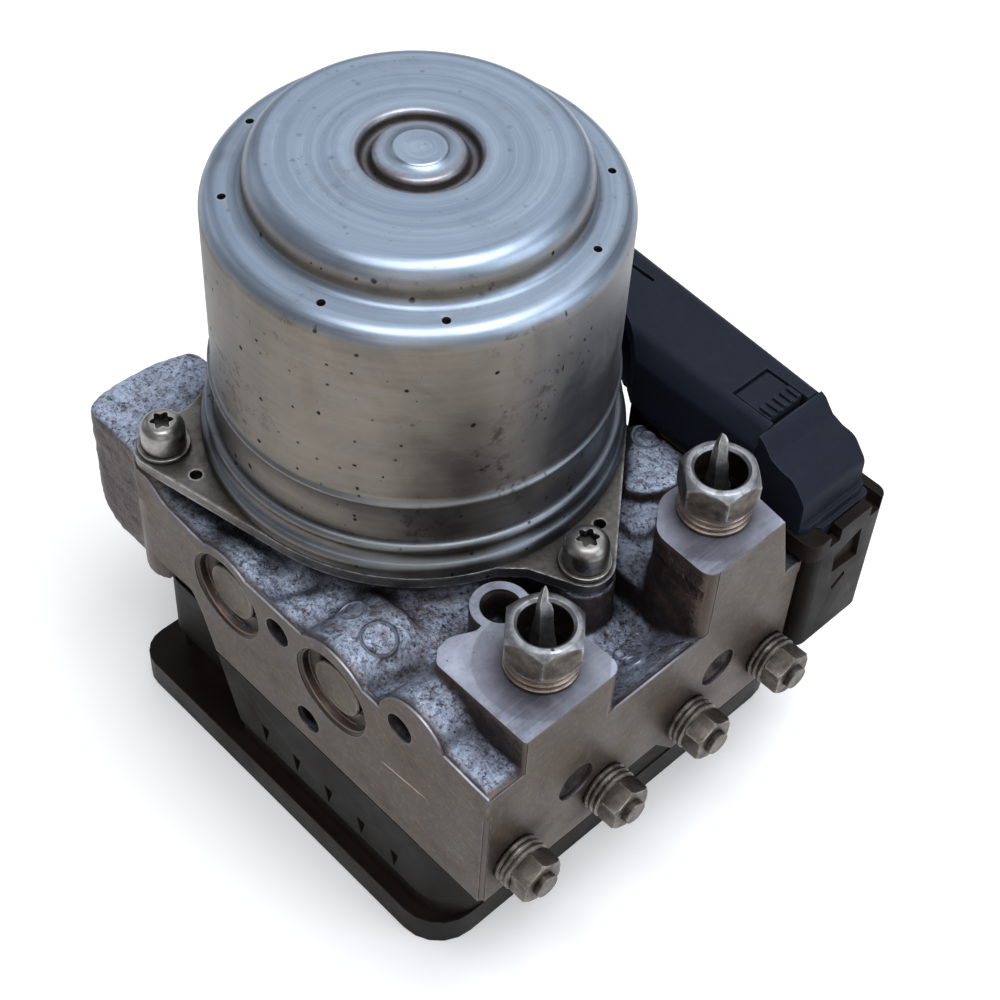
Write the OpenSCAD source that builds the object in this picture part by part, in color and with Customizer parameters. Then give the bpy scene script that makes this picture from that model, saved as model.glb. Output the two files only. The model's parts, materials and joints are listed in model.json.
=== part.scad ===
// Anti-lock brake modulator: a pump motor on a cast valve block, with an
// electronics housing and its plugged connector below and behind the block.
// Origin: motor axis, on the underside of the tray. Front is -Y, ports are +X.

/* [Stack heights] */
// Height of the tray lid's rim above the underside
lid_h = 7; // [6:0.5:9]
// Height of the joint between housing and casting
joint_z = 29.4; // [28:0.2:33]
// Height of the rough cast floor above the joint
floor_h = 31.1; // [29:0.1:33]
// Height of the machined motor seat above the joint
seat_h = 35.8; // [34.5:0.1:38]
// Depth of the valley beside the port-side motor screw
valley_d = 7; // [3:0.5:8]

/* [Casting] */
// Motor axis to the machined front face
front_y = 45.9; // [45.4:0.1:50]
// Motor axis to the machined port face
port_x = 68.9; // [67:0.1:74]
// Motor axis to the rear face
rear_y = 33.8; // [33:0.1:34]
// Motor axis to the left wall
left_x = 38; // [36:0.5:44]
// Width of the mounting boss beyond the left end of the front face
boss_w = 21; // [19:0.5:26]
// Height of the mounting boss
boss_h = 30; // [28:0.5:31]
// Height of the front inlet pad above the cast floor
pad_h = 11.25; // [9:0.25:14]
// Height of the rear inlet tower above the cast floor
tower_h = 17.8; // [15:0.1:20]

/* [Ports and holes] */
// Front inlet fitting, X and Y
inlet_front = [59, -25]; // [-60:0.5:60]
// Rear inlet fitting, X and Y
inlet_rear = [58.6, 16.9]; // [-60:0.1:60]
// Across flats of the inlet nuts
inlet_af = 13; // [12:0.5:14]
// Height of an inlet nut above its pad
inlet_nut_h = 11; // [9:0.5:13]
// Hole through an inlet nut
inlet_hole_d = 9.3; // [8.5:0.1:9.6]
// Thread diameter of the inlet nuts
inlet_thread_d = 12; // [11.5:0.1:12.4]
// Height of the outlet port axes above the joint
outlet_h = 8.3; // [7.5:0.1:9]
// Y of the first outlet port
outlet_y0 = -38.5; // [-39.5:0.1:-37.5]
// Spacing of the four outlet ports
outlet_pitch = 21.93; // [21:0.01:22]
// Thread diameter of the outlet nuts
outlet_thread_d = 10; // [9:0.1:10.4]
// Across flats of the outlet nuts
outlet_af = 8.4; // [7.5:0.1:9]
// Thread diameter of the tapped front holes
tap_d = 6; // [5:0.1:6.5]
// Depth of the tapped front holes
tap_depth = 12; // [8:0.5:13]
// Diameter of the pressed ball plugs
ball_plug_d = 8.3; // [7:0.1:9]

/* [Pump and accumulators] */
// Height of the pump axis above the joint
pump_h = 21.6; // [21:0.1:22.5]
// X of the accumulator axis
acc_x = 29.3; // [28:0.1:31]
// Pump piston diameter
piston_d = 8; // [6:0.1:9]
// Pump sleeve outer diameter
sleeve_d = 14; // [12.5:0.1:14.4]
// Accumulator and plug bore
acc_d = 16; // [15:0.1:17]
// Throw of the eccentric
throw = 1; // [0.5:0.1:1.4]
// Outside diameter of the eccentric's bearing ring
ecc_d = 16; // [15:0.1:16]
// Stroke of an accumulator piston
acc_stroke = 5; // [3:0.5:6]
// Visible disc of a pressed bore plug
plug_disc_d = 11.6; // [10:0.1:12]

/* [Motor] */
// Outside diameter of the motor can
can_d = 73.5; // [72:0.5:76]
// Height of the can from flange to crown
can_h = 62.7; // [60:0.5:68]
// Sheet thickness of the can
can_wall = 1.8; // [1.2:0.1:2.2]
// Thickness of the motor flange
flange_t = 2.5; // [2:0.1:3.5]
// Radial distance from can rim to flange screws
ear_out = 6.8; // [6.5:0.1:8]
// Radius of the flange ears
ear_r = 5.5; // [5:0.1:6]
// Directions of the three flange ears
ear_angles = [-2, -121, 119]; // [-180:1:180]
// Motor shaft diameter
shaft_d = 8; // [6:0.5:8.5]
// Radial thickness of the magnets
magnet_t = 10; // [6:0.5:11]
// Air gap between magnets and armature
air_gap = 0.7; // [0.5:0.1:1.2]
// Number of armature slots
slots = 12; // [8:1:14]
// Thread diameter of the flange screws
screw_d = 5; // [4:0.1:5.2]
// Height of the flange screw heads
screw_head_h = 5.8; // [4:0.1:7]

/* [Electronics housing] */
// Wall thickness of the housing
wall = 2.4; // [2:0.1:3]
// Motor axis to the housing's rear wall
housing_rear = 50; // [49:0.5:51]
// Motor axis to the housing's right wall
housing_right = 61; // [60:0.5:63]
// Motor axis to the housing's left wall
housing_left = 28.5; // [28:0.5:30]
// Corner radius of housing and lid
corner_r = 9; // [7:0.5:11]
// Overhang of the lid beyond the front wall
lid_lip = 2.1; // [1.5:0.1:3]
// Height of the deck that carries the connector
deck_z = 37; // [35:0.5:40]
// Height of the connector rim
shroud_z = 66; // [62:0.5:66]
// Left side of the connector shroud
shroud_x0 = 22.5; // [22:0.5:27]
// Right side of the connector shroud
shroud_x1 = 71.5; // [68.5:0.5:76]
// Rear side of the connector shroud
shroud_y1 = 53.5; // [53:0.5:58]
// Height of the plug's wire cover above the rim
cover_h = 17; // [12:0.5:20]
// Diameter of the solenoid coils
coil_d = 20; // [17:0.5:20.5]
// Spacing of the solenoid valves
valve_pitch = 21; // [20.6:0.1:21]
// Diameter of a valve cartridge in the casting
valve_d = 9.8; // [9:0.1:10.4]

/* [Fits] */
// Gap of a part pressed or screwed into a bore
press_gap = 0.02; // [0.01:0.01:0.04]
// Radial gap of a sliding or turning fit
run_gap = 0.03; // [0.02:0.01:0.06]
// Gap between parts that only lie beside each other
side_gap = 0.4; // [0.3:0.1:0.6]

/* [Hidden] */
$fn = 48;
eps = 0.01;

// Heights
floor_z = joint_z + floor_h;
seat_z = joint_z + seat_h;
flange_z = seat_z + flange_t;
crown_z = flange_z + can_h;
pad_z = floor_z + pad_h;
tower_z = floor_z + tower_h;
pump_z = joint_z + pump_h;
outlet_z = joint_z + outlet_h;
valley_z = floor_z - valley_d;
gasket_t = 0.5;

// Motor radii
can_r = can_d / 2;
rim_r = can_r + 2.85;
flange_r = rim_r + 0.2;
screw_pcr = flange_r + ear_out;
bore_r = can_r - can_wall;
magnet_r = bore_r - 0.05;
armature_r = magnet_r - magnet_t - air_gap;
shaft_r = shaft_d / 2;
commutator_r = shaft_r + 5;
brush_z = flange_z + 3;
core_z0 = flange_z + 17;
core_z1 = crown_z - 18.5;
bush_h = 6;
bush_r = 6.3;
pocket_z = crown_z + 0.7 - can_wall;
seat_r = rim_r - 2.6;
well_r = ecc_d / 2 + throw + 1.2;
bearing_r = 11;
bearing_h = 7;
ecc_half = seat_z - bearing_h - pump_z - 1.7;
ball_r = 1.98;
ball_pcr = (bearing_r + shaft_r) / 2;
terminal = [-21, -4];
bar_r = 2.1;
bar_pcr = armature_r - bar_r - 2;

// Pump and accumulators: distances along Y from the motor axis
reach = ecc_d / 2 + throw + 0.05;
piston_l = 13;
sleeve_y0 = 12;
sleeve_y1 = 27;
plug_depth = 3;
acc_y0 = 9;
acc_plug_t = 5;
acc_piston_l = rear_y - plug_depth - acc_plug_t - acc_y0 - 0.4 - acc_stroke;

// Ports, pads and plugs
inlets = [[inlet_front[0], inlet_front[1], pad_z], [inlet_rear[0], inlet_rear[1], tower_z]];
inlet_turns = [13, -7];
outlet_ys = [for (i = [0:3]) outlet_y0 + i * outlet_pitch];
gallery_ys = [inlet_front[1] + 1, inlet_rear[1] - 4.1];
gallery_z = joint_z + 16.5;
boss_x0 = -25.5 - boss_w;
boss_z1 = floor_z + 4;
front_taps = [[14.7, joint_z + 25.2, 0], [47.2, joint_z + 30.7, 1], [22.5, joint_z + 6.6, -1.5]];
boss_tap = [-32, joint_z + 20];
lobe_y = housing_rear - 1.2;
lug = [45.9, -21.8];
lug_hole_d = 7.4;

// Housing and connector
socket_x0 = shroud_x0 + 2.2;
socket_x1 = shroud_x1 - 2.2;
shroud_y0 = rear_y + side_gap;
rim_y = shroud_y0 - 2.2;
socket_y0 = shroud_y0 + 2.2;
socket_y1 = shroud_y1 - 2.2;
pins = [for (i = [0:14], j = [0:2]) [socket_x0 + 2.6 + 2 * i, socket_y0 + 2.8 + 2.8 * j]];
pin_rise = 12;
end_block_h = 12.2;
cover_x0 = -3;
cover_x1 = 54.4;
cover_flare = 3;
deck_x0 = -10 + side_gap;
board_z = lid_h + 1.6;
board_t = 1.6;
valves = [for (x = [0:3], y = [-27, 15]) [-15 + x * valve_pitch, y]];
columns = [[54, -6], [-12, -6], [-20, 33], [54, 29.5]];
column_r = 4.3;
ecu_screw_d = 4;
latch = [44.9, 36.8, 54.3, 45.6];

// Polygon through the corners [x, y, r], each rounded to its radius r
function unit(v) = v / norm(v);
function corner(a, b, c, r, n) =
    r <= 0 ? [b] :
    let (u = unit(a - b), v = unit(c - b), h = acos(u * v) / 2, m = b + unit(u + v) * r / sin(h),
        s = b + u * r / tan(h) - m, e = b + v * r / tan(h) - m,
        t = atan2(s[1], s[0]), d = atan2(s[0] * e[1] - s[1] * e[0], s * e))
    [for (i = [0:n]) m + r * [cos(t + d * i / n), sin(t + d * i / n)]];
function rounded(p, n = 5) = [for (i = [0:len(p) - 1])
    each corner(xy(p[(i + len(p) - 1) % len(p)]), xy(p[i]), xy(p[(i + 1) % len(p)]), p[i][2], n)];
function xy(p) = [p[0], p[1]];
function box_plan(x0, y0, x1, y1, r) = rounded([[x0, y0, r], [x1, y0, r], [x1, y1, r], [x0, y1, r]]);

// Prism of a plan between two heights
module prism(plan, z0, z1) {
    translate([0, 0, z0])
        linear_extrude(z1 - z0)
            polygon(plan);
}

// Prism of an X-Z profile between two values of Y
module along_y(profile, y0, y1) {
    translate([0, y1, 0])
        rotate([90, 0, 0])
            linear_extrude(y1 - y0)
                polygon(profile);
}

// Prism of a Y-Z profile between two values of X
module along_x(profile, x0, x1) {
    translate([x0, 0, 0])
        rotate([90, 0, 90])
            linear_extrude(x1 - x0)
                polygon(profile);
}

// Round bar along Y, from y0 to y1
module rod_y(x, z, y0, y1, r) {
    translate([x, y0, z])
        rotate([-90, 0, 0])
            cylinder(h = y1 - y0, r = r);
}

// Round bar along X, from x0 to x1
module rod_x(y, z, x0, x1, r) {
    translate([x0, y, z])
        rotate([0, 90, 0])
            cylinder(h = x1 - x0, r = r);
}

// Places its child at every flange screw
module at_ears() {
    for (a = ear_angles)
        rotate(a)
            translate([screw_pcr, 0, 0])
                children();
}

// Helical compression spring, standing on z = 0
module coil_spring(r, wire, length, turns) {
    sides = 6;
    rings = turns * 12;
    pts = [for (i = [0:rings], j = [0:sides - 1])
        let (a = i * 30, b = j * 360 / sides, q = r + wire * cos(b))
        [q * cos(a), q * sin(a), wire + (length - 2 * wire) * i / rings + wire * sin(b)]];
    skin = [for (i = [0:rings - 1], j = [0:sides - 1])
        let (k = i * sides, m = (j + 1) % sides)
        [k + j, k + sides + j, k + sides + m, k + m]];
    polyhedron(pts, concat(skin, [[for (j = [0:sides - 1]) j]],
        [[for (j = [sides - 1:-1:0]) rings * sides + j]]), convexity = 8);
}

// Deep-drawn steel can with crown, shoulder, two beads and a flared rim
module motor_can() {
    z0 = flange_z;
    z1 = crown_z;
    color([0.62, 0.66, 0.70]) difference() {
        rotate_extrude($fn = 96) polygon(concat(
            [[0, z1 + 0.7], [4.6, z1 + 0.7], [5, z1 + 0.5], [6.6, z1 + 0.2], [8.15, z1 - 0.6],
                [8.8, z1 - 1.9], [9.6, z1 - 1.9], [10.35, z1 - 0.5], [11.2, z1]],
            [for (a = [90:-15:0]) [can_r - 10.35 + 3 * cos(a), z1 - 3 + 3 * sin(a)]],
            [[can_r - 7.2, z1 - 4.6], [can_r - 6.5, z1 - 6], [can_r - 5.2, z1 - 7]],
            [for (a = [90:-15:0]) [can_r - 3.6 + 3.6 * cos(a), z1 - 10.8 + 3.6 * sin(a)]],
            [[can_r, z0 + 17], [can_r + 0.65, z0 + 16], [can_r + 0.3, z0 + 15],
                [can_r + 0.2, z0 + 7.2], [can_r + 1, z0 + 6.4], [can_r + 1.7, z0 + 5.6],
                [can_r + 1.6, z0 + 4.8], [can_r + 2.2, z0 + 3], [can_r + 2.75, z0 + 1.8],
                [rim_r, z0 + 0.9], [rim_r, z0], [bore_r + 1.2, z0], [bore_r + 1, z0 + 2.4],
                [bore_r, z0 + 5], [bore_r, z1 - 9.6], [can_r - 4.6, z1 - 8.8],
                [can_r - 8.6, z1 - 7.6], [can_r - 9.2, z1 - 1.8], [11.4, z1 - 1.8],
                [10.8, z1 - 3.7], [bush_r + 0.05, z1 - 3.7], [bush_r + 0.05, pocket_z], [0, pocket_z]]));
        for (a = [37.5:90:307.5], s = [-17.7, 17.7])
            rotate(a + s)
                translate([can_r - 4.05, 0, z1 - 8.2])
                    cylinder(h = 3, r = 0.7, $fn = 16);
    }
}

// Arc of a circle about c, from angle a to angle b
function arc(c, r, a, b, n) = [for (i = [0:n]) c + r * [cos(a + (b - a) * i / n), sin(a + (b - a) * i / n)]];

// Outline of a disc with three ears, each with one long straight flank and one short one
function flange_plan(g = 0) =
    let (e = [ear_angles[2] - 360, ear_angles[1], ear_angles[0]], t = acos((flange_r - ear_r) / screw_pcr))
    [for (i = [0:2]) let (a = e[i], next = i < 2 ? e[i + 1] : e[0] + 360)
        each concat(
            [(flange_r + 1.5 + g) * [cos(a), sin(a)] + (8.8 + g) * [sin(a), -cos(a)]],
            arc(screw_pcr * [cos(a), sin(a)], ear_r + g, a - 72, a + t, 12),
            arc([0, 0], flange_r + g, a + t, next - 19, 20))];

// Flat steel plate that clamps the motor to the casting
module motor_flange() {
    color([0.55, 0.56, 0.56]) difference() {
        prism(flange_plan(), seat_z, flange_z);
        translate([0, 0, seat_z - 1])
            cylinder(h = flange_t + 2, r = commutator_r + 0.5);
        at_ears()
            translate([0, 0, seat_z - 1])
                cylinder(h = flange_t + 2, r = screw_d / 2 + 0.2);
        for (a = ear_angles)
            rotate(a + 11)
                translate([flange_r + 2.8, 0, seat_z - 1])
                    cylinder(h = flange_t + 2, r = 1.15);
        translate([terminal[0], terminal[1], seat_z - 1])
            cylinder(h = flange_t + 2, r = 3.4);
    }
}

// Three cylinder-head screws with six-lobe recesses
module motor_screws() {
    z = flange_z + 1;
    color([0.72, 0.72, 0.70]) at_ears() difference() {
        union() {
            translate([0, 0, z])
                rotate_extrude()
                    polygon([[0, 0], [screw_d / 2 + 1.6, 0], [screw_d / 2 + 1.6, screw_head_h - 1.6],
                        [screw_d / 2 + 1.3, screw_head_h - 0.7], [screw_d / 2 + 0.5, screw_head_h],
                        [0, screw_head_h]]);
            translate([0, 0, seat_z - 9])
                cylinder(h = z - seat_z + 9 + eps, r = screw_d / 2);
        }
        translate([0, 0, z + screw_head_h - 2.6])
            linear_extrude(3) {
                circle(screw_d * 0.34);
                for (i = [0:5])
                    rotate(i * 60)
                        translate([screw_d * 0.38, 0])
                            circle(screw_d * 0.1, $fn = 16);
            }
    }
}

// Plain washers below the screw heads
module screw_washers() {
    color([0.66, 0.66, 0.64]) at_ears()
        translate([0, 0, flange_z])
            difference() {
                cylinder(h = 1, r = screw_d / 2 + 2.4);
                translate([0, 0, -1])
                    cylinder(h = 3, r = screw_d / 2 + 0.15);
            }
}

// Four arc magnets inside the can
module motor_magnets() {
    color([0.25, 0.25, 0.27]) for (a = [5:90:275])
        rotate(a)
            translate([0, 0, core_z0 - 5])
                rotate_extrude(angle = 80)
                    translate([magnet_r - magnet_t, 0])
                        square([magnet_t, core_z1 - core_z0 + 10]);
}

// Plastic plate with two brush boxes, standing on the flange
module brush_plate() {
    color([0.35, 0.30, 0.24]) difference() {
        union() {
            translate([0, 0, flange_z])
                cylinder(h = 2, r = bore_r - 0.4);
            for (a = [90, 270])
                rotate(a)
                    translate([commutator_r + 1, -4.4, flange_z + 2 - eps])
                        cube([19, 8.8, 8]);
        }
        translate([0, 0, flange_z - 1])
            cylinder(h = 4, r = commutator_r + 0.6);
        for (a = [90, 270])
            rotate(a)
                translate([commutator_r, -3.1, brush_z])
                    cube([18.5, 6.2, 5.4]);
        translate([terminal[0], terminal[1], flange_z - 1])
            cylinder(h = 4, r = 3.2);
    }
}

// Two carbon brushes, facing each other across the commutator
module carbon_brushes() {
    color([0.18, 0.18, 0.18]) for (a = [90, 270])
        rotate(a)
            translate([commutator_r + 0.05, -3, brush_z])
                cube([9, 6, 5.2]);
}

// Springs that press the brushes inward
module brush_springs() {
    color([0.7, 0.7, 0.72]) for (a = [90, 270])
        rotate(a)
            translate([commutator_r + 9.05, 0, brush_z + 2.6])
                rotate([0, 90, 0])
                    coil_spring(2, 0.3, 9.4, 5);
}

// Insulated terminal stalk from the brush plate down to the circuit board
module motor_terminals() {
    color([0.2, 0.2, 0.22]) translate([terminal[0], terminal[1], 0]) {
        translate([0, 0, board_z + board_t + 3])
            cylinder(h = flange_z - board_z - board_t - 2, r = 3);
        for (x = [-1.4, 1.4])
            translate([x - 0.4, -1, board_z + board_t])
                cube([0.8, 2, flange_z + 4 - board_z - board_t]);
    }
}

// Sintered bush in the pocket of the can
module top_bush() {
    color([0.60, 0.48, 0.32]) translate([0, 0, pocket_z - bush_h]) difference() {
        cylinder(h = bush_h, r = bush_r);
        translate([0, 0, -1])
            cylinder(h = bush_h + 2, r = shaft_r - 1 + run_gap);
    }
}

// Ball track shared by both races
module ball_track() {
    rotate_extrude()
        translate([ball_pcr, bearing_h / 2])
            circle(ball_r + 0.02, $fn = 32);
}

// Outer race, pressed into the casting below the flange
module bearing_outer_race() {
    color([0.75, 0.75, 0.76]) translate([0, 0, seat_z - bearing_h]) difference() {
        cylinder(h = bearing_h, r = bearing_r);
        translate([0, 0, -1])
            cylinder(h = bearing_h + 2, r = ball_pcr + 1.4);
        ball_track();
    }
}

// Inner race, pressed on the shaft
module bearing_inner_race() {
    color([0.75, 0.75, 0.76]) translate([0, 0, seat_z - bearing_h]) difference() {
        cylinder(h = bearing_h, r = ball_pcr - 1.4);
        translate([0, 0, -1])
            cylinder(h = bearing_h + 2, r = shaft_r + press_gap);
        ball_track();
    }
}

// Seven bearing balls
module bearing_balls() {
    color([0.85, 0.85, 0.86]) for (i = [0:6])
        rotate(i * 360 / 7)
            translate([ball_pcr, 0, seat_z - bearing_h / 2])
                sphere(ball_r, $fn = 24);
}

// Motor shaft with a thinner journal at the top
module rotor_shaft() {
    color([0.7, 0.71, 0.72]) {
        translate([0, 0, pump_z - 7.6])
            cylinder(h = pocket_z - bush_h - 1 - pump_z + 7.6, r = shaft_r);
        translate([0, 0, pocket_z - bush_h - 1 - eps])
            cylinder(h = bush_h + 0.4, r = shaft_r - 1);
    }
}

// Stack of slotted laminations
module armature_core() {
    color([0.42, 0.43, 0.45]) translate([0, 0, core_z0])
        linear_extrude(core_z1 - core_z0) difference() {
            circle(armature_r, $fn = 96);
            circle(shaft_r + press_gap);
            for (i = [0:slots - 1])
                rotate(i * 360 / slots) {
                    translate([bar_pcr, 0])
                        circle(bar_r + 0.1, $fn = 24);
                    translate([bar_pcr, -0.7])
                        square([bar_r + 4, 1.4]);
                }
        }
}

// Copper bars in the slots with an end turn above and below
module armature_windings() {
    color([0.72, 0.40, 0.20]) {
        for (i = [0:slots - 1])
            rotate(i * 360 / slots)
                translate([bar_pcr, 0, core_z0 - 1])
                    cylinder(h = core_z1 - core_z0 + 2, r = bar_r, $fn = 24);
        for (z = [core_z0 - 6, core_z1])
            translate([0, 0, z])
                rotate_extrude()
                    polygon(box_plan(shaft_r + 2, 0, armature_r - 1.5, 6, 2.4));
    }
}

// Commutator with insulated bars
module commutator() {
    color([0.70, 0.44, 0.26]) translate([0, 0, flange_z + 2.2]) difference() {
        cylinder(h = 8.4, r = commutator_r);
        translate([0, 0, -1])
            cylinder(h = 11, r = shaft_r + press_gap);
        for (i = [0:slots - 1])
            rotate((i + 0.5) * 360 / slots)
                translate([commutator_r - 1, -0.25, -1])
                    cube([2, 0.5, 11]);
    }
}

// Eccentric on the lower end of the shaft
module pump_eccentric() {
    color([0.6, 0.6, 0.62]) difference() {
        translate([throw, 0, pump_z - ecc_half])
            cylinder(h = 2 * ecc_half, r = ecc_d / 2 - 2);
        translate([0, 0, pump_z - ecc_half - 1])
            cylinder(h = 2 * ecc_half + 2, r = shaft_r + press_gap);
    }
}

// Ring that the pump pistons ride on
module eccentric_ring() {
    color([0.74, 0.74, 0.76]) translate([throw, 0, pump_z - ecc_half + 0.5]) difference() {
        cylinder(h = 2 * ecc_half - 1, r = ecc_d / 2);
        translate([0, 0, -1])
            cylinder(h = 2 * ecc_half + 1, r = ecc_d / 2 - 2 + run_gap);
    }
}

// Plan of the casting, with the rear lobe that carries the third screw
function block_plan(d) = rounded([[-25.5 + d, -front_y + d, 2], [port_x - d, -front_y + d, 0.8],
    [port_x - d, rear_y - d, 1.5], [-10 - d, rear_y - d, 1], [-10 - d, lobe_y - d, 3],
    [-30, lobe_y - d, 6], [-left_x + d, 42, 5], [-left_x + d, -22 + d, 2], [-25.5 + d, -32, 2]]);

// Lower part of the casting, up to the rough cast floor
module block_slab() {
    prism(block_plan(0), joint_z, floor_z);
}

// Cast humps over the bores behind the front face
module front_humps() {
    y = -front_y;
    rod_y(0, pump_z, y, -24, 11.2);
    rod_y(14.7, joint_z + 25.2, y, -36, 5.8);
    rod_y(acc_x, pump_z + 0.6, y, -30, 12);
    rod_y(50.3, floor_z - 0.4, y, inlet_front[1] - 6, 8.4);
    along_y(rounded([[-25.5, floor_z - 4, 0], [-25.5, boss_z1 + 0.4, 1], [-22.4, boss_z1 + 0.3, 2],
        [-17.5, floor_z + 0.8, 5], [-8, floor_z, 3], [-8, floor_z - 4, 0]]), y, -front_y + 12);
    along_y(rounded([[54, floor_z - 4, 0], [54, floor_z + 3.6, 2], [65, floor_z + 2.5, 4],
        [port_x, floor_z + 2.4, 0.6], [port_x, floor_z - 4, 0]]), y, inlet_front[1] - 8);
}

// Seat of the motor, with a boss below each flange ear
module motor_seat() {
    intersection() {
        translate([0, 0, joint_z + 10])
            cylinder(h = seat_h - 10, r = seat_r);
        translate([-60, -60, 0])
            cube([120, 60 + rear_y, 200]);
    }
    at_ears()
        translate([0, 0, joint_z + 6])
            cylinder(h = seat_h - 6, r = ear_r + 0.4);
    for (a = ear_angles)
        rotate(a)
            translate([flange_r - 6, -ear_r + 1, joint_z + 6])
                cube([ear_out + 5, 2 * ear_r - 2, seat_h - 6 - eps]);
}

// Machined pad below the front inlet nut, with the lug beside it
module inlet_pad() {
    x = inlet_front[0];
    y = inlet_front[1];
    prism(rounded([[x - 11.5, y - 13.2, 2], [port_x, y - 13.2, 0.6], [port_x, y + 9.5, 2.5],
        [x + 3, y + 9.6, 3], [lug[0] - 1, y + 8.5, 4], [lug[0] - 2, y + 1, 4],
        [x - 11.6, y - 2.6, 2.4], [x - 14.2, y - 8, 3], [x - 13.6, y - 11, 2.5]]),
        valley_z - 2, pad_z);
    translate([lug[0], lug[1], floor_z - 3])
        cylinder(h = pad_z - floor_z + 3, r = lug_hole_d / 2 + 1.7);
}

// Rounded tower below the rear inlet nut
module inlet_tower() {
    x = inlet_rear[0];
    y = inlet_rear[1];
    prism(rounded([[port_x, y - 12, 2.5], [port_x, y + 7.2, 0.8], [x + 3, y + 8, 4],
        [x - 7.5, y + 4, 5], [x - 8.2, y - 5, 6], [x - 3, y - 11.6, 5]]), valley_z - 2, tower_z);
    prism(rounded([[port_x, y + 2, 1], [port_x, rear_y, 1], [x - 10, rear_y, 2], [x - 8, y, 2]]),
        floor_z - 3, floor_z);
    along_x([[y + 6, floor_z - 1], [y + 6, tower_z - eps], [y + 7.2, tower_z - eps],
        [y + 11.4, floor_z], [y + 11.4, floor_z - 1]], port_x - 10, port_x);
}

// Boss for a side mounting bolt, left of the front face
module mount_boss() {
    intersection() {
        along_y(rounded([[-24, boss_z1 - boss_h, 2], [boss_x0, boss_z1 - boss_h, 10],
            [boss_x0, boss_z1, 3], [-24, boss_z1, 1]]), -front_y + 2, -18);
        prism(rounded([[-24, -front_y + 2.4, 1], [boss_x0 + 2.4, -front_y + 2.4, 3.5],
            [boss_x0, -36, 2], [boss_x0, -28, 2], [boss_x0 + 3.4, -18.5, 4], [-24, -18.5, 1]]),
            joint_z, boss_z1);
    }
}

// Round hump and small pad behind the port-side screw
module rear_hump() {
    translate([35.5, rear_y - 8.8, joint_z + 10])
        cylinder(h = floor_z + 6.2 - joint_z - 10, r = 8.6);
    prism(box_plan(38, 13, 47, 23, 2), joint_z + 10, floor_z + 2.5);
}

// Bore along Y for a pressed plug, with its staked conical mouth
module plug_bore(x, z, side, inner) {
    face = side < 0 ? front_y : rear_y;
    translate([x, 0, z])
        rotate([side < 0 ? 90 : -90, 0, 0]) {
            translate([0, 0, inner])
                cylinder(h = face - plug_depth - inner, r = acc_d / 2);
            translate([0, 0, face - plug_depth - eps])
                cylinder(h = 1 + eps, r = plug_disc_d / 2 + 0.6);
            translate([0, 0, face - plug_depth + 1 - eps])
                cylinder(h = plug_depth - 1.7, r1 = plug_disc_d / 2 + 0.6, r2 = acc_d / 2 + 0.4);
            translate([0, 0, face - 0.8])
                cylinder(h = 0.82, r1 = acc_d / 2 + 0.5, r2 = acc_d / 2 + 1.3);
        }
}

// Drillings for the pump, the accumulators, the shaft and the valves
module block_bores() {
    translate([0, 0, seat_z - bearing_h])
        cylinder(h = bearing_h + 1, r = bearing_r + press_gap);
    translate([0, 0, pump_z - 8.6])
        cylinder(h = seat_z - bearing_h - pump_z + 8.6 + eps, r = well_r);
    rod_y(0, pump_z, -sleeve_y1 - eps, sleeve_y1 + eps, sleeve_d / 2 + press_gap);
    for (side = [-1, 1]) {
        plug_bore(0, pump_z, side, sleeve_y1);
        plug_bore(acc_x, pump_z + 0.6, side, acc_y0);
    }
    for (v = valves)
        translate([v[0], v[1], joint_z - 1])
            cylinder(h = 13.1, r = valve_d / 2 + press_gap);
    translate([terminal[0], terminal[1], joint_z - 1])
        cylinder(h = 60, r = 3.4);
    for (c = columns)
        translate([c[0], c[1], joint_z - 1])
            cylinder(h = 10, r = ecu_screw_d / 2 + press_gap);
    at_ears()
        translate([0, 0, seat_z - 11])
            cylinder(h = 12, r = screw_d / 2 + press_gap);
}

// Drillings for the pipe fittings and the galleries behind them
module block_ports() {
    for (p = inlets) {
        translate([p[0], p[1], p[2] - 12])
            cylinder(h = 13, r = inlet_thread_d / 2 + press_gap);
        translate([p[0], p[1], gallery_z - 1])
            cylinder(h = p[2] - gallery_z - 10, r = 2.4);
    }
    for (y = outlet_ys) {
        rod_x(y, outlet_z, port_x - 10, port_x + 1, outlet_thread_d / 2 + press_gap);
        rod_x(y, outlet_z, port_x - 17, port_x - 9, 1.8);
    }
    for (y = gallery_ys) {
        rod_x(y, gallery_z, port_x - 5, port_x + 1, ball_plug_d / 2 + press_gap);
        rod_x(y, gallery_z, port_x - 18, port_x - 4, 2);
    }
    translate([lug[0], lug[1], pad_z - 8])
        cylinder(h = 9, r = lug_hole_d / 2);
    translate([lug[0], lug[1], pad_z - 10])
        cylinder(h = 2 + eps, r1 = 0.5, r2 = lug_hole_d / 2);
}

// Tapped holes on the front face and in the mounting boss
module block_taps() {
    for (t = front_taps)
        rod_y(t[0], t[1], -front_y - 1, -front_y + tap_depth + t[2], tap_d / 2);
    rod_x(boss_tap[0], boss_tap[1], boss_x0 - 1, boss_x0 + tap_depth + 2, tap_d / 2);
}

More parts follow.
